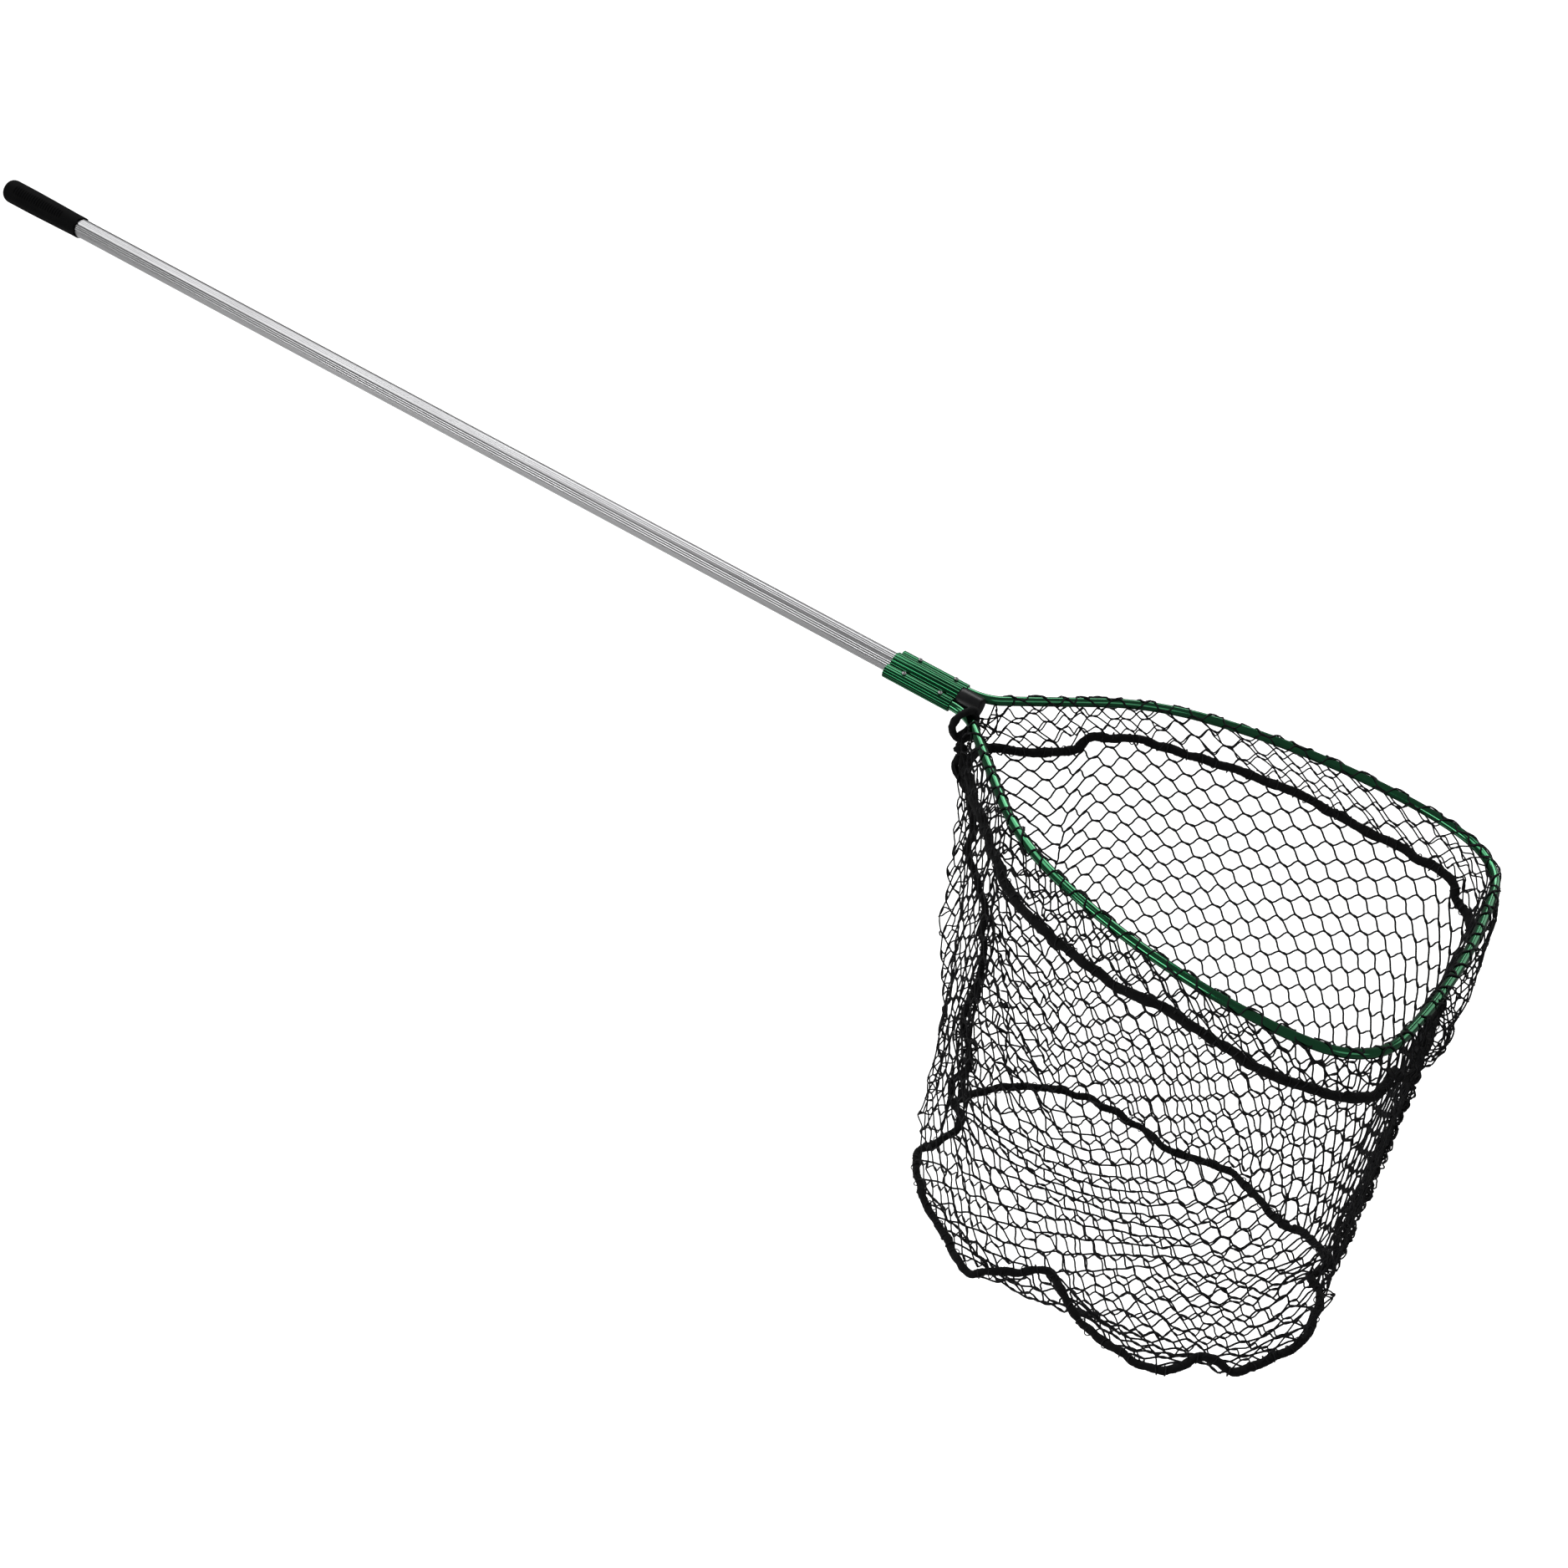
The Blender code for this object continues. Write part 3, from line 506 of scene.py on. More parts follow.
def prism(name, outline, x_rear, x_front, offset=0.0):
    """(down, sideways) points extruded along the pole, as a mesh object for cutting and joining."""
    shape = bmesh.new()
    ends = []
    for x in (x_rear, x_front):
        rim = on_pole([(x, side + offset, -down) for down, side in outline])
        ends.append([shape.verts.new(point) for point in rim])
    shape.faces.new(ends[0])
    shape.faces.new(ends[1][::-1])
    for k in range(len(outline)):
        n = (k + 1) % len(outline)
        shape.faces.new((ends[0][n], ends[0][k], ends[1][k], ends[1][n]))
    bmesh.ops.recalc_face_normals(shape, faces=shape.faces)
    mesh = bpy.data.meshes.new(name)
    shape.to_mesh(mesh)
    shape.free()
    return new_object(name, mesh)


def circle(radius, count):
    return [(radius * math.cos(a), radius * math.sin(a)) for a in np.arange(count) * 2 * math.pi / count]


def ribbed_circle(radius, ribs, depth, shift):
    """Rounded ribs with narrow grooves between; shift is the first groove's, in ribs from the top."""
    samples, fullness = 12, 2.6
    points = []
    for k in range(ribs * samples):
        turn = math.pi + 2 * math.pi * (k / samples + shift) / ribs
        from_crest = abs(2 * (k % samples) / samples - 1)
        reach = radius - depth * from_crest ** fullness
        points.append((reach * math.cos(turn), reach * math.sin(turn)))
    return points


def pole_outline():
    """Flat faces, each with fine ribs, between blunt corners; a corner is at the top."""
    half = math.pi / POLE_SIDES
    flat = POLE_RADIUS * math.cos(half - POLE_CORNER)       # from the axis to a face
    samples = FACE_RIBS * 6
    points = []
    for k in range(POLE_SIDES):
        middle = 2 * math.pi * k / POLE_SIDES
        for turn in np.linspace(-half + POLE_CORNER, half - POLE_CORNER, samples + 1):
            wave = 0.5 - 0.5 * math.cos(2 * math.pi * FACE_RIBS * (turn / (half - POLE_CORNER) + 1) / 2)
            reach = flat / math.cos(turn) - FACE_RIB_DEPTH * (1 - wave) ** 3
            angle = middle + half + turn
            points.append((reach * math.cos(angle), reach * math.sin(angle)))
        corner = middle + 2 * half
        points.append((POLE_RADIUS * math.cos(corner), POLE_RADIUS * math.sin(corner)))
    return points


def make_pole():
    """The drawn tube, solid here, because both its ends are covered."""
    pole = prism("pole_drawn", pole_outline(), POLE_REAR, POLE_FRONT)
    pole.data.shade_smooth()
    pole.data.set_sharp_from_angle(angle=math.radians(22))
    place_piece(pole, ALUMINIUM, "handle", ("pole",))


def ring(along, radius, turns):
    """Points round the pole's axis, as (along, across, over)."""
    along = np.broadcast_to(along, turns.shape)
    return np.stack((along, radius * np.cos(turns), radius * np.sin(turns)), axis=1)


def turned(outline, sides, upright=False, place=(0.0, 0.0, 0.0)):
    """A turned shape on the pole's axis, or upright, square to the hoop.  outline: (place, radius)."""
    turns = 2 * math.pi * np.arange(sides) / sides
    points = np.concatenate([ring(along, radius, turns) for along, radius in outline])
    if upright:
        points = np.roll(points, -1, axis=1)
    return on_pole(points + np.array(place)), ring_faces(len(outline), sides, False)


def rounded(x, radius, round_x, round_radius, steps=5):
    """Points of a quarter round from (x, radius - round_radius) to (x + round_x, radius)."""
    return [(x + round_x * (1 - math.cos(a)), radius - round_radius * (1 - math.sin(a)))
            for a in np.linspace(0.0, math.pi / 2, steps)]


def make_grip():
    """The rubber sleeve: fine ribs on four faces of its middle, and a front edge cut in shallow waves."""
    length = GRIP_FRONT - GRIP_REAR
    swell, slim = 0.0175, 0.0160                # radius of the rear part, and of the front
    butt_round, butt_depth = 0.0085, 0.0055
    rib_pitch, rib_depth = 0.0045, 0.0011
    rib_start, rib_end = 0.14, 0.78             # as shares of the length
    wave_depth, lip, bore_depth = 0.0034, 0.0006, 0.012
    sides = 96
    turns = 2 * math.pi * np.arange(sides) / sides
    faces = np.clip(0.4 - np.cos(4 * turns) * 1.6, 0.0, 1.0)    # 1 on the ribbed faces, 0 between
    butt = [(0.0, 0.0005)] + rounded(0.0, swell, butt_round, butt_depth, 9)
    rings = [ring(x, radius, turns) for x, radius in butt]
    for x in np.arange(butt_round + rib_pitch / 8, length - 0.002, rib_pitch / 8):
        share = x / length
        radius = swell + (slim - swell) * np.clip((share - 0.3) / 0.6, 0, 1) ** 1.2
        ribbed = rib_start < share < rib_end
        groove = max(0.0, math.cos(2 * math.pi * x / rib_pitch)) ** 2 * rib_depth * ribbed
        rings.append(ring(x, radius - groove * faces, turns))
    edge = length - wave_depth * (0.5 - 0.5 * np.cos(8 * turns))
    mouth = ((lip / 2, slim), (0.0, slim - lip / 3), (0.0, POLE_RADIUS), (bore_depth, POLE_RADIUS))
    rings += [ring(edge - back, radius, turns) for back, radius in mouth]
    points = on_pole(np.concatenate(rings) + np.array((GRIP_REAR, 0.0, 0.0)))
    made = points, ring_faces(len(rings), sides, False)
    add_piece("grip_drawn", made, RUBBER, "handle", ("grip",), sharp=50)


def make_plug():
    """The cap on the pole's front end: rounded at its face, with a fine step round its rear edge."""
    face_round, dish, step, step_depth, rear_gap, edge = 0.0022, 0.0084, 0.0035, 0.0004, 0.0006, 0.0004
    rear = YOKE_FRONT + rear_gap
    inner = PLUG_RADIUS - step_depth
    outline = [(PLUG_FRONT, 0.0005), (PLUG_FRONT, dish - edge), (PLUG_FRONT - edge, dish)]
    corner = rounded(0.0, PLUG_RADIUS, face_round, face_round, 7)
    outline += [(PLUG_FRONT - x, radius) for x, radius in corner]
    outline += [(PLUG_REAR + 0.0115, PLUG_RADIUS), (rear + step + edge / 2, PLUG_RADIUS),
                (rear + step, inner), (rear + edge, inner), (rear, inner - edge), (rear, POLE_RADIUS)]
    outline.sort(key=lambda spot: -spot[0])
    made = turned(outline[::-1], 64)
    add_piece("plug_drawn", made, PLUG_PLASTIC, "handle", ("front_plug",))


# ---------------------------------------------------------------- yoke, hoop, screws


def apply_modifiers(obj):
    """Give an object the mesh that its modifiers make, and take them off."""
    bpy.context.view_layer.update()
    graph = bpy.context.evaluated_depsgraph_get()
    finished = bpy.data.meshes.new_from_object(obj.evaluated_get(graph))
    obj.modifiers.clear()
    obj.data = finished


def combine(target, other, operation):
    """Join another object to the target, or cut it out, and remove it."""
    step = target.modifiers.new(other.name, 'BOOLEAN')
    step.operation = operation
    step.solver = 'EXACT'
    step.object = other
    apply_modifiers(target)
    bpy.data.objects.remove(other, do_unlink=True)


def make_yoke():
    """Three ribbed lobes in one extrusion, bored for the pole and both arms, with its edges broken."""
    past_end = 0.002
    outline = ribbed_circle(YOKE_RADIUS, YOKE_RIBS, RIB_DEPTH, 0.0)
    yoke = prism("yoke_drawn", outline, YOKE_REAR, YOKE_FRONT)
    outline = ribbed_circle(LOBE_RADIUS, LOBE_RIBS, RIB_DEPTH, 0.5)
    for side in (1, -1):
        lobe = prism("lobe", outline, YOKE_REAR, YOKE_FRONT, side * LOBE_OFFSET)
        combine(yoke, lobe, 'UNION')
    for offset, radius in ((0.0, YOKE_BORE), (LOBE_OFFSET, LOBE_BORE), (-LOBE_OFFSET, LOBE_BORE)):
        bore = prism("bore", circle(radius, 64), YOKE_REAR - past_end, YOKE_FRONT + past_end, offset)
        combine(yoke, bore, 'DIFFERENCE')
    hole = [(height, BUTTON_RADIUS + BUTTON_GAP) for height in BUTTON_HOLE]
    hole = turned(hole, 32, upright=True, place=(YOKE_FRONT + BUTTON_PLACE, 0.0, 0.0))
    hole = add_piece("button_hole", hole, YOKE_ANODISED_PAINTED_SHADE, "head")
    hole.parent = None
    combine(yoke, hole, 'DIFFERENCE')
    edges = yoke.modifiers.new("broken_edges", 'BEVEL')
    edges.width = 0.00035
    edges.segments = 2
    edges.limit_method = 'ANGLE'
    edges.angle_limit = math.radians(75)
    apply_modifiers(yoke)
    yoke.data.shade_smooth()
    yoke.data.set_sharp_from_angle(angle=math.radians(32))
    # the yoke's darker anodised colour is painted shade
    place_piece(yoke, YOKE_ANODISED_PAINTED_SHADE, "head", ("yoke",))


def half_hoop_plan():
    """Points of one side of the hoop's centre line, (x from the yoke's front, y), yoke to far end."""
    x, y, heading = 0.0, LOBE_OFFSET, 0.0
    points = [(-HOOP_SOCKET, y), (x, y)]

    def follow_arc(turn, radius):
        nonlocal x, y, heading
        steps = max(6, round(abs(turn)))
        bend = math.radians(turn) / steps
        chord = 2 * radius * math.sin(abs(bend) / 2)
        for _ in range(steps):
            x += chord * math.cos(heading + bend / 2)
            y += chord * math.sin(heading + bend / 2)
            heading += bend
            points.append((x, y))

    follow_arc(*ARM_BEND)
    for _ in range(12):
        x += ARM_STRAIGHT / 12 * math.cos(heading)
        y += ARM_STRAIGHT / 12 * math.sin(heading)
        points.append((x, y))
    for turn, radius in SIDE_ARCS:
        follow_arc(turn, radius)
    follow_arc(-90 - math.degrees(heading), y / math.cos(heading))
    return points


HALF_PLAN = half_hoop_plan()
HOOP_PLAN = HALF_PLAN + [(x, -y) for x, y in HALF_PLAN[-2::-1]]
HOOP_LINE = on_pole([(YOKE_FRONT + x, y, 0.0) for x, y in HOOP_PLAN])


def make_hoop():
    """The bent tube, with both its ends in the yoke's lobes."""
    radii = np.full((len(HOOP_LINE), 32), HOOP_TUBE)
    add_piece("hoop_drawn", tube(HOOP_LINE, radii), HOOP_ANODISED, "head", ("hoop",))


def make_screws():
    """Round heads, each with a socket."""
    seat = LOBE_RADIUS + 0.0003
    socket = SCREW_HEAD_RADIUS * 0.42
    dome = [(0.0018 * math.cos(a), SCREW_HEAD_RADIUS * math.sin(a))
            for a in np.linspace(math.radians(30), math.pi / 2, 9)]
    outline = ([(0.0004, 0.0001), (0.0004, socket * 0.9), (0.0014, socket)] + dome
               + [(-0.0006, SCREW_HEAD_RADIUS * 0.96), (-0.0006, 0.0015), (-0.0055, 0.0015)])
    number = 0
    for side in (1, -1):
        for along in SCREW_PLACES:
            number += 1
            place = (YOKE_FRONT + along, side * LOBE_OFFSET, seat)
            made = turned(outline[::-1], 28, upright=True, place=place)
            node = f"hoop_screw_{number}"
            add_piece(f"{node}_drawn", made, SCREW_STEEL, "head", (node,))


# ---------------------------------------------------------------- ropes


def wander(run, wave, size, columns):
    """Smooth random values along a run of distances: a new one every wave, none at either end."""
    knots = np.arange(0.0, run[-1] + wave, wave)
    values = RANDOM.normal(0.0, size, (len(knots), columns))
    values[[0, -1]] = 0.0
    place = np.clip(run / wave, 0, len(knots) - 1.001)
    share = (0.5 - 0.5 * np.cos(math.pi * (place % 1.0)))[:, None]
    first = place.astype(int)
    return values[first] * (1 - share) + values[first + 1] * share


def braid(line, radius, closed, sides=16, wobble=ROPE_WOBBLE):
    """A braided rope: two families of strands wind round it and pass over each other."""
    core, strand_height = 0.94, 0.07            # as shares of the radius
    lump, fluff, unevenness = 0.07, 0.012, 0.02
    strand_pitch = radius * 1.35                # along the rope, from one crossing to the next
    step = strand_pitch / 4
    count = int(length_of(line, closed) / step)
    line = resampled(line, count, closed)
    turns = 2 * math.pi * np.arange(sides)[None, :] / sides
    run = np.arange(count) * step
    carriers = sides // 4
    left = np.cos(carriers * turns + math.pi * run[:, None] / strand_pitch)
    right = np.cos(carriers * turns - math.pi * run[:, None] / strand_pitch)
    lumps = wander(run, ROPE_WAVE / 2, lump, 1)
    fuzz = RANDOM.normal(0.0, fluff, (count, sides))
    radii = radius * (core + strand_height * np.maximum(left, right) + lumps + fuzz)
    stray = wander(run, ROPE_WAVE, wobble, 3) + RANDOM.normal(0.0, radius * unevenness, line.shape)
    return tube(line + stray, radii, closed)


def lacing(line, radius, step, closed, twine=LACING_TWINE, tilt=0.35):
    """Turns of twine round a rope, a step apart, leaning first one way and then the other."""
    count = int(length_of(line, closed) / step)
    dense = resampled(line, count * 4, closed)
    tangents, firsts, seconds = carried_frames(dense, closed)
    turns = np.linspace(0.0, 2 * math.pi, 14, endpoint=False)
    parts = []
    for k in range(1, count - 1):
        spot = 4 * k + int(RANDOM.integers(0, 3))
        lean = tilt * (1 if k % 2 else -1) * RANDOM.uniform(0.6, 1.5)
        reach = radius + twine * 0.6
        offset = (np.cos(turns)[:, None] * firsts[spot] + np.sin(turns)[:, None] * seconds[spot]
                  + lean * np.sin(turns + RANDOM.uniform(0, 6))[:, None] * tangents[spot])
        ring = dense[spot] + reach * offset
        parts.append(tube(ring, np.full((len(ring), 5), twine), True))
    return joined(parts)


def rope_knot(place, radius, reach):
    """An overhand knot: a trefoil drawn tight."""
    middle, swing, height = 0.62, 0.30, 0.45    # as shares of the reach
    turns = np.linspace(0.0, 2 * math.pi, 72, endpoint=False)
    out = reach * (middle + swing * np.cos(3 * turns))
    over = height * reach * np.sin(3 * turns)
    line = np.stack((out * np.cos(2 * turns), out * np.sin(2 * turns), over), axis=1)
    return braid(line @ POLE_FRAME.T + place, radius, True, sides=12, wobble=0.0)


CUFF_LINE = smooth_route(CUFF_ROUTE, 600, True) + YOKE_POINT
BOTTOM_LINE = smooth_route(BOTTOM_ROUTE, 600, True) + YOKE_POINT
HEEL_LINE = smooth_route(HEEL_ROUTE, 200, False) + YOKE_POINT
TIE_LINE = smooth_route(TIE_ROUTE, 120, True) + YOKE_POINT
SEAM_LINE = smooth_route(SEAM_ROUTE, 120, False) + YOKE_POINT
SEAM_INWARD = np.array((0.010, 0.0, 0.0))   # the bundle lies against the wall


LACED_ROPES = (
    ("cuff_rope", CUFF_LINE, CUFF_ROPE_RADIUS, True), ("heel_rope", HEEL_LINE, HEEL_ROPE_RADIUS, False),
    ("bottom_rope", BOTTOM_LINE, BOTTOM_ROPE_RADIUS, True))


def make_ropes():
    """The laced ropes, the tie with its knot, second turn and tail, and the lacing."""
    def add_rope(name, made, nodes=()):
        add_piece(f"{name}_braid", made, ROPE, "head", nodes, sharp=0)

    for node, line, radius, closed in LACED_ROPES:
        add_rope(node, braid(line, radius, closed), (node,))
    add_rope("tie_loop", braid(TIE_LINE, TIE_ROPE_RADIUS, True, wobble=0.0004), ("tie_loop",))
    knot = rope_knot(np.array(KNOT_PLACE) + YOKE_POINT, TIE_ROPE_RADIUS * 0.85, KNOT_REACH)
    add_rope("tie_knot", knot, ("tie_knot",))
    for name, route, radius in (("tie_tail", TAIL_ROUTE, HEEL_ROPE_RADIUS),
                                ("tie_turn", TURN_ROUTE, TIE_ROPE_RADIUS)):
        line = smooth_route(route, 80, False) + YOKE_POINT
        add_rope(name, braid(line, radius, False, wobble=0.0003))
    for node, line, radius, closed in LACED_ROPES:
        turns = lacing(line, radius, LACING_STEP, closed)
        # lighter twine colour: painted highlight on the lacing turns
        add_piece(f"{node}_lacing", turns, LACING_PAINTED_HIGHLIGHT, "head", (), sharp=0)


# ---------------------------------------------------------------- netting

STEPS = {"up_right": (-1, 1), "down_right": (1, 1), "up_left": (-1, -1), "down_left": (1, -1)}


def neighbours(spots, wrap=None):
    """For each (row, column), the number of the joint one row up or down and one column aside, or -1."""
    index = {spot: k for k, spot in enumerate(spots)}
    found = {}
    for name, (row_step, column_step) in STEPS.items():
        others = []
        for row, column in spots:
            beside = column + column_step
            others.append(index.get((row + row_step, beside % wrap if wrap else beside), -1))
        found[name] = np.array(others)
    return found


def legs_and_struts(spots, links, wrap=None):
    """Pairs of ends: each joint's own, each leg's, and the struts that keep meshes open."""
    index = {spot: k for k, spot in enumerate(spots)}
    numbers = np.arange(len(spots))
    joints = np.stack((2 * numbers, 2 * numbers + 1), axis=1)
    legs = []
    for name in ("up_right", "down_right"):
        known = links[name] >= 0
        legs.append(np.stack((2 * numbers[known] + 1, 2 * links[name][known]), axis=1))
    struts = []
    for k, (row, column) in enumerate(spots):
        beside = column + 2
        for other in ((row + 2, column), (row, beside % wrap if wrap else beside)):
            if other in index:
                struts += [(2 * k, 2 * index[other]), (2 * k + 1, 2 * index[other] + 1)]
    return joints, np.concatenate(legs), np.array(struts)


def relax(ends, held, spots, links, wrap=None, steps=250, weight=0.00002, slack=1.0, keep_off=None):
    """Let netting settle: twine keeps its length, meshes stay half open, and all of it sinks."""
    step_size, ease = 0.6, 0.2
    joints, legs, struts = legs_and_struts(spots, links, wrap)
    points = ends.reshape(-1, 3).copy()
    pinned = np.repeat(held, 2)
    pairs = np.concatenate((joints, legs, struts))
    first, second = pairs[:, 0], pairs[:, 1]
    strut_lengths = np.linalg.norm(points[struts[:, 0]] - points[struts[:, 1]], axis=1)
    leg_lengths = LEG * slack * RANDOM.normal(1.0, LEG_NOISE, len(legs))
    strut_lengths = strut_lengths * RANDOM.normal(1.0, STRUT_NOISE, len(struts))
    lengths = np.concatenate((np.full(len(joints), JOINT), leg_lengths, strut_lengths))
    counts = (len(joints), len(legs), len(struts))
    pull = np.repeat((TIGHT, TIGHT, STRUT_FORCE), counts)
    push = np.repeat((TIGHT, LOOSE, STRUT_FORCE), counts)
    share = np.bincount(pairs.ravel(), weights=np.repeat(pull, 2), minlength=len(points))[:, None] + ease
    for step in range(steps):
        gap = points[second] - points[first]
        reach = np.linalg.norm(gap, axis=1) + 1e-9
        force = np.where(reach > lengths, pull, push) * (reach - lengths) / reach
        shift = gap * (force * step_size)[:, None]
        pulls = [np.bincount(first, part, len(points)) - np.bincount(second, part, len(points))
                 for part in shift.T]
        move = np.stack(pulls, axis=1) / share
        move[:, 2] -= weight
        move[pinned] = 0.0
        points += move
        if keep_off is not None and step % 5 == 4:
            points = keep_off(points)
    return points.reshape(-1, 2, 3)


def joint_twines(ends, links):
    """Centre lines of each joint's two twines, their tangents, and which way each joint faces.

    The first twine comes from the upper left and goes on to the lower right, the second from the lower
    left to the upper right; they twist half round each other between.
    """
    left, right = ends[:, 0], ends[:, 1]
    middle = ends.mean(axis=1)
    along = unit(right - left)
    up = np.zeros_like(middle)
    for name, sign in (("up_right", 1), ("up_left", 1), ("down_right", -1), ("down_left", -1)):
        known = links[name] >= 0
        up[known] += sign * (middle[links[name][known]] - middle[known])
    up = unit(up - along * np.sum(up * along, axis=1, keepdims=True))
    out = np.cross(along, up)
    share = np.linspace(0.0, 1.0, JOINT_RINGS)[None, :, None]
    centres, tangents = [], []
    for side in (1, -1):
        turned_out = np.cos(math.pi * share) * up[:, None] + np.sin(math.pi * share) * out[:, None]
        centres.append(left[:, None] + (right - left)[:, None] * share + TWIST * side * turned_out)
        tangents.append(np.gradient(centres[-1], axis=1))
    return np.stack(centres, axis=1), unit(np.stack(tangents, axis=1)), out


def leg_ends(links):
    """For each leg, the joint it leaves, the joint it reaches, and which of the twines it is."""
    legs = []
    for strand, name in enumerate(("down_right", "up_right")):
        source = np.nonzero(links[name] >= 0)[0]
        legs.append(np.stack((source, links[name][source], np.full(len(source), strand)), axis=1))
    return np.concatenate(legs).T


def leg_twines(centres, tangents, source, goal, strand, rings):
    """Centre lines of the legs, as smooth curves that the joints' own ends are turned to meet."""
    fullness = 0.75
    start, end = centres[source, strand, -1], centres[goal, strand, 0]
    chord = end - start
    heading = unit(chord)
    tangents[source, strand, -1] = unit(tangents[source, strand, -1] + heading)
    tangents[goal, strand, 0] = unit(tangents[goal, strand, 0] + heading)
    size = np.linalg.norm(chord, axis=1, keepdims=True) * fullness
    leave, arrive = tangents[source, strand, -1] * size, tangents[goal, strand, 0] * size
    leg_centres, leg_tangents = [], []
    for u in np.arange(1, rings + 1) / (rings + 1):
        leg_centres.append((2 * u ** 3 - 3 * u ** 2 + 1) * start + (u ** 3 - 2 * u ** 2 + u) * leave
                           + (3 * u ** 2 - 2 * u ** 3) * end + (u ** 3 - u ** 2) * arrive)
        leg_tangents.append((6 * u ** 2 - 6 * u) * (start - end) + (3 * u ** 2 - 4 * u + 1) * leave
                            + (3 * u ** 2 - 2 * u) * arrive)
    return np.stack(leg_centres, axis=1), unit(np.stack(leg_tangents, axis=1))


def twine_points(centres, tangents, facing, twine):
    """A ring of points round each centre."""
    across = unit(np.cross(tangents, facing))
    over = np.cross(across, tangents)
    turns = 2 * math.pi * np.arange(TWINE_SIDES) / TWINE_SIDES
    rings = np.cos(turns)[None, :, None] * across[:, None] + np.sin(turns)[None, :, None] * over[:, None]
    return (centres[:, None] + twine * rings).reshape(-1, 3)


def twine_faces(number, source, goal, strand, leg_rings):
    """The faces along the joints and the legs, and a cap on each loose end."""
    joints = np.arange(number * 2 * JOINT_RINGS).reshape(number, 2, JOINT_RINGS)
    legs = joints.size + np.arange(len(source) * leg_rings).reshape(-1, leg_rings)
    chain = np.concatenate((joints[source, strand, -1:], legs, joints[goal, strand, :1]), axis=1)
    has_next, has_previous = np.zeros((number, 2), bool), np.zeros((number, 2), bool)
    has_next[source, strand] = True
    has_previous[goal, strand] = True
    around = np.arange(TWINE_SIDES)[None, :]
    return [bands(joints[:, :, :-1], joints[:, :, 1:], TWINE_SIDES),
            bands(chain[:, :-1], chain[:, 1:], TWINE_SIDES),
            joints[:, :, 0][~has_previous].reshape(-1, 1) * TWINE_SIDES + around[:, ::-1],
            joints[:, :, -1][~has_next].reshape(-1, 1) * TWINE_SIDES + around]


def knit(ends, links, leg_rings=2, keep_off=None, twine=TWINE):
    """The twines of a sheet of netting, as one mesh; ends holds each joint's left and right end."""
    joint_centres, joint_tangents, out = joint_twines(ends, links)
    source, goal, strand = leg_ends(links)
    leg_centres, leg_tangents = leg_twines(joint_centres, joint_tangents, source, goal, strand, leg_rings)
    leg_out = unit(out[source] + out[goal])[:, None]
    centres = np.concatenate((joint_centres.reshape(-1, 3), leg_centres.reshape(-1, 3)))
    tangents = np.concatenate((joint_tangents.reshape(-1, 3), leg_tangents.reshape(-1, 3)))
    facing = np.concatenate((np.broadcast_to(out[:, None, None], joint_centres.shape).reshape(-1, 3),
                             np.broadcast_to(leg_out, leg_centres.shape).reshape(-1, 3)))
    if keep_off is not None:
        centres = keep_off(centres)
    return (twine_points(centres, tangents, facing, twine),
            twine_faces(len(ends), source, goal, strand, leg_rings))


# ---------------------------------------------------------------- the bag's layout


def column_shares():
    """Shares of the way from heel to toe at which the columns lie, close together at the toe's seam."""
    half = COLUMNS // 2
    from_toe = half - np.arange(half) - 0.5
    gaps = 1.0 - GATHER * np.exp(-(from_toe / GATHER_COLUMNS) ** 4)
    return np.concatenate(([0.0], np.cumsum(gaps))) / gaps.sum()


def columns_on(line, heel, toe):
    """A point for each column on a closed line: from the heel, by the far side, to the toe and back."""
    start = np.argmin(np.linalg.norm(line - heel, axis=1))
    line = np.roll(line, -start, axis=0)
    turn = np.argmin(np.linalg.norm(line - toe, axis=1))
    far, near = line[:turn + 1], np.concatenate((line[turn:], line[:1]))[::-1]
    if far[len(far) // 2][1] < near[len(near) // 2][1]:
        far, near = near, far
    far, near = (points_at(side, column_shares() * run_of(side)[-1]) for side in (far, near))
    return np.concatenate((far, near[-2:0:-1]))


def rim_line():
    """The loop that the cuff is folded over: the hoop, closed under the plug."""
    rim = [(x * ALONG[0], y, x * ALONG[2]) for x, y in HOOP_PLAN if x > RIM_START]
    return smooth_route(rim + [RIM_HEEL], 900, True) + YOKE_POINT


HEEL_TOP = np.array(CUFF_ROUTE[-1]) + YOKE_POINT
HEEL_END = np.array(HEEL_ROUTE[-1]) + YOKE_POINT
TOE_TOP = np.array(SEAM_ROUTE[0]) + YOKE_POINT
TOE_END = np.array(SEAM_ROUTE[-1]) + YOKE_POINT
CUFF_COLUMNS = columns_on(CUFF_LINE, HEEL_TOP, TOE_TOP)
FLOOR_COLUMNS = columns_on(BOTTOM_LINE, HEEL_END, TOE_END)


def rim_columns():
    """A point on the rim for each column: the nearest in plan to its point on the rope, evened out."""
    search, evening = 34, 9                     # in points of the rim, and in columns
    rim = rim_line()
    count = len(rim)
    first = columns_on(rim, np.array(RIM_HEEL) + YOKE_POINT, TOE_TOP + 0.1 * SQUARE)
    starts = np.array([np.linalg.norm(rim - place, axis=1).argmin() for place in first])
    reach = np.arange(-search, search + 1)
    shifts = []
    for start, cuff in zip(starts, CUFF_COLUMNS):
        nearby = rim[(start + reach) % count]
        shifts.append(reach[np.linalg.norm((nearby - cuff)[:, :2], axis=1).argmin()])
    weights = np.hanning(evening) / np.hanning(evening).sum()
    ends = evening // 2
    even = np.convolve(np.concatenate((shifts[-ends:], shifts, shifts[:ends])), weights, mode="valid")
    return rim[np.round(starts + even).astype(int) % count]


RIM_COLUMNS = rim_columns()


def lengthwise(columns):
    """The direction along a row at each column."""
    return unit(np.roll(columns, -1, axis=0) - np.roll(columns, 1, axis=0))


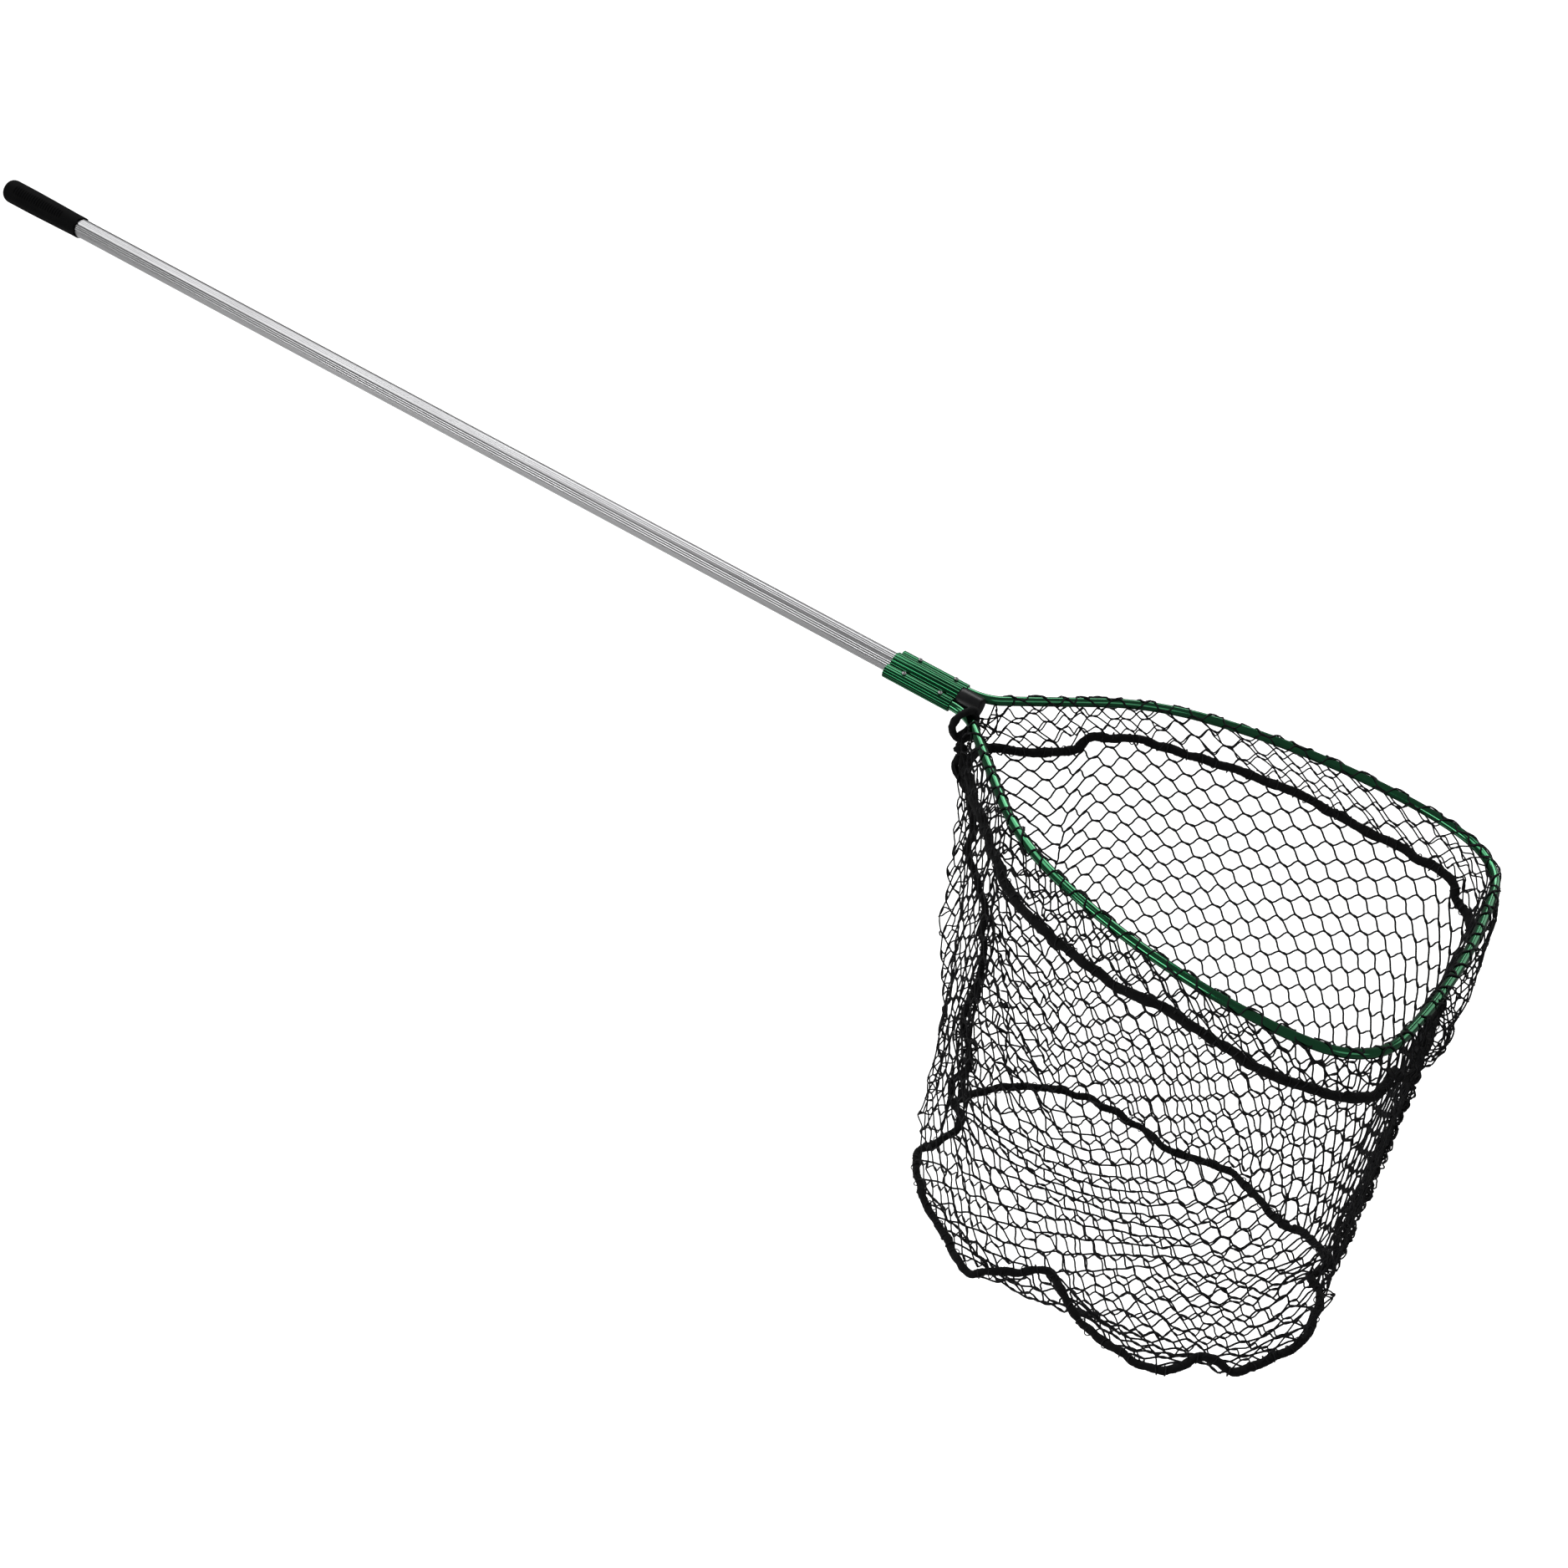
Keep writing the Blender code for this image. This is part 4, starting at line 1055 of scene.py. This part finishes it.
def joints_at(middles, headings):
    """Left and right ends of joints with these middles."""
    reach = headings * JOINT / 2
    return np.stack((middles - reach, middles + reach), axis=1)


def gathered():
    """How closely the columns are gathered, from 0 to nearly 1 at the toe."""
    from_toe = np.abs(np.arange(COLUMNS) - COLUMNS / 2)
    return np.exp(-(from_toe / GATHER_COLUMNS) ** 4)


def on_heel_rope(height):
    """Where the heel rope is, in plan, at a height."""
    rising = HEEL_LINE[::-1]
    return np.array([[np.interp(height, rising[:, 2], rising[:, axis]) for axis in (0, 1)]])


def lay_rows(reach, place_at):
    """Joints in rows of half meshes, until each column's reach is used up.

    place_at gives the columns' places at shares of their reach; a column's last joint lies on its end.
    """
    least_pitch, last_step = LEG * 0.5, 0.75
    ends = place_at(np.ones(COLUMNS))
    depth = np.zeros(COLUMNS)
    spots, middles, headings, held = [], [], [], []
    row = 0
    while (depth < reach).any():
        place = place_at(np.minimum(depth / reach, 1.0))
        width = np.linalg.norm(np.roll(place, -1, axis=0) - np.roll(place, 1, axis=0), axis=1) / 2
        pitch = np.sqrt(np.maximum(LEG ** 2 - (width - JOINT) ** 2, least_pitch ** 2))
        pitch = (np.roll(pitch, 1) + 2 * pitch + np.roll(pitch, -1)) / 4
        heading = lengthwise(place)
        last = depth + pitch * last_step >= reach
        for column in range(row % 2, COLUMNS, 2):
            if depth[column] < reach[column]:
                spots.append((row, column))
                middles.append(ends[column] if last[column] else place[column])
                headings.append(heading[column])
                held.append(row == 0 or bool(last[column]))
        depth = depth + pitch
        row += 1
    return spots, np.array(middles), np.array(headings), np.array(held)


def wall_layout():
    """Joints of the wall: straight down, but at the heel along its rope, and bulging out beside it."""
    rope_reach, bulge_from_heel, bulge_reach = 1.6, 3.0, 2.5        # in columns
    bulge_way = np.array((-0.8, -0.6, 0.0))
    straight = FLOOR_COLUMNS - CUFF_COLUMNS
    numbers = np.arange(COLUMNS)
    from_heel = np.minimum(numbers, COLUMNS - numbers)
    rope_share = np.exp(-(from_heel / rope_reach) ** 2)[:, None]
    near_share = np.exp(-((COLUMNS - numbers - bulge_from_heel) / bulge_reach) ** 2)

    def place_at(share):
        place = CUFF_COLUMNS + straight * share[:, None]
        rope = np.column_stack((on_heel_rope(place[0, 2]), place[0, 2:]))
        bulge = HEEL_BULGE * np.sin(math.pi * share) * near_share
        place = place + rope_share * (rope - place[0]) + bulge[:, None] * bulge_way
        place[share > 0.999] = FLOOR_COLUMNS[share > 0.999]
        return place

    return lay_rows(np.linalg.norm(straight, axis=1), place_at)


def make_wall():
    """The side of the bag, in a far and a near half, because their twines differ in thickness."""
    spots, middles, headings, held = wall_layout()
    links = neighbours(spots, COLUMNS)
    close = gathered()[[column for _, column in spots]]
    tilt = close * RANDOM.uniform(-1.2, 1.2, len(spots))
    headings = unit(headings * np.cos(tilt)[:, None] + DOWN * np.sin(tilt)[:, None])
    ends = relax(joints_at(middles, headings), held, spots, links, COLUMNS, steps=400)
    columns = np.array([column for _, column in spots])
    half = COLUMNS // 2
    # Both halves have the columns at the heel and the toe, so that every leg belongs to one of them.
    for name, chosen in (("far", columns <= half), ("near", (columns >= half) | (columns == 0))):
        kept = np.nonzero(chosen)[0]
        part = [spots[k] for k in kept]
        twine = LOOSE_TWINE if name == "far" else TWINE
        made = knit(ends[kept], neighbours(part, COLUMNS), twine=twine)
        nodes = ("net_wall",) if name == "far" else ()
        add_piece(f"net_wall_{name}", made, TWINE_LOOK, "head", nodes, sharp=0)


def tube_guard(line, radius):
    """A function that moves points out of the tube round a line."""
    dense = resampled(line, 1200, False)
    tangents = unit(np.gradient(dense, axis=0))
    tree = KDTree(len(dense))
    for k, point in enumerate(dense):
        tree.insert(point, k)
    tree.balance()
    low, high = line.min(axis=0) - 0.03, line.max(axis=0) + 0.03

    def keep_off(points):
        nearby = np.nonzero(((points > low) & (points < high)).all(axis=1))[0]
        found = np.array([tree.find(points[k])[1] for k in nearby], int)
        offset = points[nearby] - dense[found]
        offset -= tangents[found] * np.sum(offset * tangents[found], axis=1, keepdims=True)
        reach = np.linalg.norm(offset, axis=1)
        inside = (reach < radius) & (found > 0) & (found < len(dense) - 1)
        moved = points.copy()
        moved[nearby[inside]] += unit(offset[inside]) * (radius - reach[inside])[:, None]
        return moved

    return keep_off


def cuff_section(rope, rim, out, bulge):
    """One column's line: from the rope up the outside, over the tube and down the inside to the rope."""
    rope_gap, droop, inner_bulge = 0.003, 0.004, 0.4
    turns = np.radians(np.linspace(-25, 205, 12))
    reach = HOOP_TUBE + TWINE * 1.3 + CUFF_LOOSE * np.clip(np.sin(turns), 0, 1)[:, None]
    over = rim + reach * (np.cos(turns)[:, None] * out + np.sin(turns)[:, None] * SQUARE)
    share = np.linspace(0.0, 1.0, 12)[:, None]
    sides = []
    for foot, top, lean in ((rope + out * rope_gap, over[0], out * bulge),
                            (rope - out * rope_gap, over[-1], -out * bulge * inner_bulge)):
        control = (foot + top) / 2 + 2 * lean - DOWN * droop
        sides.append((1 - share) ** 2 * foot + 2 * share * (1 - share) * control + share ** 2 * top)
    return resampled(np.concatenate((sides[0], over[1:-1], sides[1][::-1])), SECTION_POINTS, False)


def make_cuff():
    """The double band between the hoop and the cuff rope, fullest at the toe and on its far side."""
    least_bulge, more_bulge = 0.004, 0.016
    full_column, full_reach = COLUMNS * 0.45, 9
    centre = RIM_COLUMNS.mean(axis=0)
    heading = lengthwise(RIM_COLUMNS)
    out = unit(np.cross(heading, SQUARE))
    out *= np.sign(np.sum(out * (RIM_COLUMNS - centre), axis=1, keepdims=True))
    full = gathered() + np.exp(-((np.arange(COLUMNS) - full_column) / full_reach) ** 2)
    bulge = least_bulge + more_bulge * np.clip(full, 0, 1)
    sections = np.stack([cuff_section(*each) for each in zip(CUFF_COLUMNS, RIM_COLUMNS, out, bulge)])
    numbers = np.arange(COLUMNS)

    def place_at(share):
        place = share * (SECTION_POINTS - 1)
        first = np.minimum(place.astype(int), SECTION_POINTS - 2)
        part = (place - first)[:, None]
        return sections[numbers, first] * (1 - part) + sections[numbers, first + 1] * part

    reach = np.array([length_of(section) for section in sections])
    spots, middles, headings, held = lay_rows(reach, place_at)
    links = neighbours(spots, COLUMNS)
    keep_off = tube_guard(HOOP_LINE, HOOP_TUBE + TWINE * 1.1)
    ends = relax(joints_at(middles, headings), held, spots, links, COLUMNS, steps=160, keep_off=keep_off)
    made = knit(ends, links, leg_rings=4, keep_off=keep_off)
    add_piece("net_cuff_knit", made, TWINE_LOOK, "head", ("net_cuff",), sharp=0)


def inside_loop(loop, x, y):
    """Whether plan points lie inside a closed loop."""
    crossings = np.zeros(x.shape, int)
    ahead = np.roll(loop, -1, axis=0)
    for (x0, y0), (x1, y1) in zip(loop, ahead):
        if y0 != y1:
            spans = (y0 > y) != (y1 > y)
            crossings += spans & (x < (x1 - x0) * (y - y0) / (y1 - y0) + x0)
    return crossings % 2 == 1


def leg_growth(flat, hung, links):
    """How much longer each leg is between its joints' hung places than between their flat ones."""
    growths = []
    for name in ("up_right", "down_right"):
        source = np.nonzero(links[name] >= 0)[0]
        goal = links[name][source]
        hung_gap = np.linalg.norm(hung[goal] - hung[source], axis=1)
        growths.append(hung_gap / np.linalg.norm(flat[goal] - flat[source], axis=1))
    return np.clip(np.concatenate(growths), 1.0, 1.5)


def floor_plan(loop):
    """The (row, column) of each joint inside the bottom rope, and its place in plan."""
    width, pitch = FLOOR_MESH
    low, high = loop[:, :2].min(axis=0), loop[:, :2].max(axis=0)
    spots, plan = [], []
    for row in range(int((high[1] - low[1]) / pitch) + 1):
        for column in range(row % 2, int((high[0] - low[0]) / width) + 1, 2):
            spots.append((row, column))
            plan.append((low[0] + column * width, high[1] - row * pitch))
    plan = np.array(plan)
    within = inside_loop(loop[::4, :2], plan[:, 0], plan[:, 1])
    return [spot for spot, kept in zip(spots, within) if kept], plan[within]


def hung_places(plan, rope):
    """Where the floor's joints hang, and the place on the rope that is nearest to each in plan."""
    gaps = np.linalg.norm(plan[:, None] - rope[None, :, :2], axis=2)
    weights = 1.0 / (gaps ** 3 + 1e-9)
    level = (weights * rope[None, :, 2]).sum(axis=1) / weights.sum(axis=1)
    nearest = gaps.min(axis=1)
    from_belly = np.linalg.norm(plan - (YOKE_POINT[:2] + BELLY_PLACE), axis=1)
    belly = BELLY_DROP * np.exp(-(from_belly / BELLY_REACH) ** 2) * (1 - np.exp(-nearest / BELLY_EDGE))
    sag = BAG_SAG * (1 - np.exp(-nearest / SAG_EDGE))
    return np.column_stack((plan, level - sag - belly)), rope[gaps.argmin(axis=1)]


def make_floor():
    """The bag's floor: a flat sheet of meshes cut to the bottom rope and hung in it."""
    spots, plan = floor_plan(BOTTOM_LINE)
    middles, laced = hung_places(plan, BOTTOM_LINE[::4])
    links = neighbours(spots)
    held = sum((links[name] >= 0).astype(int) for name in STEPS) < 4
    middles[held] = laced[held]
    headings = np.tile((1.0, 0.0, 0.0), (len(spots), 1))
    slack = FLOOR_SLACK * leg_growth(plan, middles, links)
    ends = joints_at(middles, headings)
    ends = relax(ends, held, spots, links, steps=500, weight=0.00004, slack=slack)
    made = knit(ends, links, twine=LOOSE_TWINE)
    add_piece("net_bottom_knit", made, TWINE_LOOK, "head", ("net_bottom",), sharp=0)


def make_seam():
    """The toe's gathered edge: loose bundled twines, drawn together at every lacing turn."""
    strands, count = 13, 160
    reach_low, reach_high, drawn_in = 0.0015, 0.0115, 0.35
    stray_wave, stray, turn_wave, turn_size = 0.018, 0.003, 0.030, 0.9
    lacing_radius = LACING_TWINE * 1.3
    line = resampled(SEAM_LINE - SEAM_INWARD, count, False)
    run = np.linspace(0.0, length_of(line), count)
    _, firsts, seconds = carried_frames(line, False)
    loose = 1 - drawn_in * np.abs(np.cos(math.pi * run / LACING_STEP)) ** 6
    parts = []
    for strand in range(strands):
        middle = RANDOM.uniform(reach_low, reach_high)
        reach = middle + wander(run, stray_wave, stray, 1)[:, 0]
        reach = np.clip(reach, reach_low, reach_high) * loose
        turn = 2 * math.pi * strand / strands + wander(run, turn_wave, turn_size, 1)[:, 0]
        offset = firsts * (reach * np.cos(turn))[:, None] + seconds * (reach * np.sin(turn))[:, None]
        parts.append(tube(line + offset, np.full((count, 5), TWINE)))
    for tilt in (-0.4, 0.4):
        parts.append(lacing(line, reach_high * (1 - drawn_in), LACING_STEP, False, lacing_radius, tilt))
    made = joined(parts)
    # The bundle is netting twine given the lacing's lighter colour: a painted highlight.
    add_piece("toe_seam_bundle", made, LACING_PAINTED_HIGHLIGHT, "head", ("toe_seam",), sharp=0)


# ---------------------------------------------------------------- stage, light, camera

ROOM_BRIGHTNESS = 0.15
SOFTBOX_DISTANCE = 9.0
SOFTBOXES = (                               # azimuth, elevation, width and height in degrees, brightness
    ("overhead", -94, 64, 52, 24, 1.6),
    ("behind", -168, 46, 26, 26, 2.8),
    ("front", -22, 15, 34, 12, 4.4),
    ("low_left", -77, -42, 48, 34, 0.65),
    ("side", 70, 18, 34, 22, 0.7),
    ("toe", 150, 20, 30, 22, 0.9))


def make_floor_plane():
    """A plain floor, wide enough that its edge is never seen."""
    half, drop = 32.0, 0.9
    level = CAD_BOX[0][2] - drop
    shape = bmesh.new()
    signs = ((-1, -1), (1, -1), (1, 1), (-1, 1))
    shape.faces.new([shape.verts.new((half * x, half * y, level)) for x, y in signs])
    mesh = bpy.data.meshes.new("studio_floor")
    shape.to_mesh(mesh)
    shape.free()
    floor = new_object("studio_floor", mesh)
    mesh.materials.append(floor_look())
    floor.visible_glossy = False
    floor.visible_diffuse = False
    floor.visible_shadow = False


def direction(azimuth, elevation):
    """The direction towards an azimuth, in degrees from -Y towards +X, and an elevation."""
    azimuth, elevation = math.radians(azimuth), math.radians(elevation)
    level = math.cos(elevation)
    return Vector((math.sin(azimuth) * level, -math.cos(azimuth) * level, math.sin(elevation)))


def add_lamp(name, width, height, brightness):
    """A rectangular light, as bright as that however large it is."""
    light = bpy.data.lights.new(name, 'AREA')
    light.shape = 'RECTANGLE'
    light.size = width
    light.size_y = height
    light.energy = brightness * math.pi * width * height
    return new_object(name, light)


def add_softbox(name, azimuth, elevation, width, height, brightness):
    """A soft light that faces the yoke; the angles are in degrees, as seen from there."""
    width, height = (2 * SOFTBOX_DISTANCE * math.tan(math.radians(each / 2)) for each in (width, height))
    lamp = add_lamp(name, width, height, brightness)
    out = direction(azimuth, elevation)
    lamp.location = Vector(YOKE_POINT) + out * SOFTBOX_DISTANCE
    lamp.rotation_euler = (-out).to_track_quat('-Z', 'Y').to_euler()


def light_floor():
    """A wide light below the net that faces down, so that the floor is white and throws no shadows."""
    side, brightness, drop = 60.0, 1.25, 0.3
    lamp = add_lamp("floor_light", side, side, brightness)
    lamp.location = (0.0, 0.0, CAD_BOX[0][2] - drop)
    lamp.visible_glossy = False


def make_light():
    """White behind the net as the camera sees it, a dim room as the net does, and the softboxes."""
    world = bpy.data.worlds.new("studio")
    bpy.context.scene.world = world
    world.use_nodes = True
    nodes, links = world.node_tree.nodes, world.node_tree.links
    paper = nodes["Background"]
    paper.inputs["Color"].default_value = (1.0, 1.0, 1.0, 1.0)
    paper.inputs["Strength"].default_value = 1.0
    room = nodes.new("ShaderNodeBackground")
    room.inputs["Strength"].default_value = ROOM_BRIGHTNESS
    seen = nodes.new("ShaderNodeLightPath")
    mix = nodes.new("ShaderNodeMixShader")
    links.new(seen.outputs["Is Camera Ray"], mix.inputs["Fac"])
    links.new(room.outputs["Background"], mix.inputs[1])
    links.new(paper.outputs["Background"], mix.inputs[2])
    links.new(mix.outputs["Shader"], nodes["World Output"].inputs["Surface"])
    for softbox in SOFTBOXES:
        add_softbox(*softbox)
    light_floor()


def make_camera():
    """The view that the net is shown in: from above its near side, towards the toe."""
    azimuth, elevation, distance = 30.71, 29.25, 3.05
    target = Vector((1.3244, -0.0996, -0.5446))
    back = direction(azimuth, elevation)
    camera = bpy.data.cameras.new("camera")
    camera.lens = 53.73
    camera.sensor_width = 36.0
    placed = new_object("camera", camera)
    placed.location = target + back * distance
    placed.rotation_euler = (-back).to_track_quat('-Z', 'Y').to_euler()
    bpy.context.scene.camera = placed
    bpy.context.scene.view_settings.view_transform = 'Standard'


make_camera()
make_floor_plane()
make_light()
make_grip()
make_pole()
make_plug()
make_yoke()
make_hoop()
make_screws()
make_ropes()
make_wall()
make_cuff()
make_floor()
make_seam()
hidden = (("end_bung", BUNG_PLASTIC), ("lock_button", LOCK_STEEL), ("button_spring", LOCK_STEEL))
for node, look in hidden:
    frame["nodes"][node].data.materials.clear()
    frame["nodes"][node].data.materials.append(look)
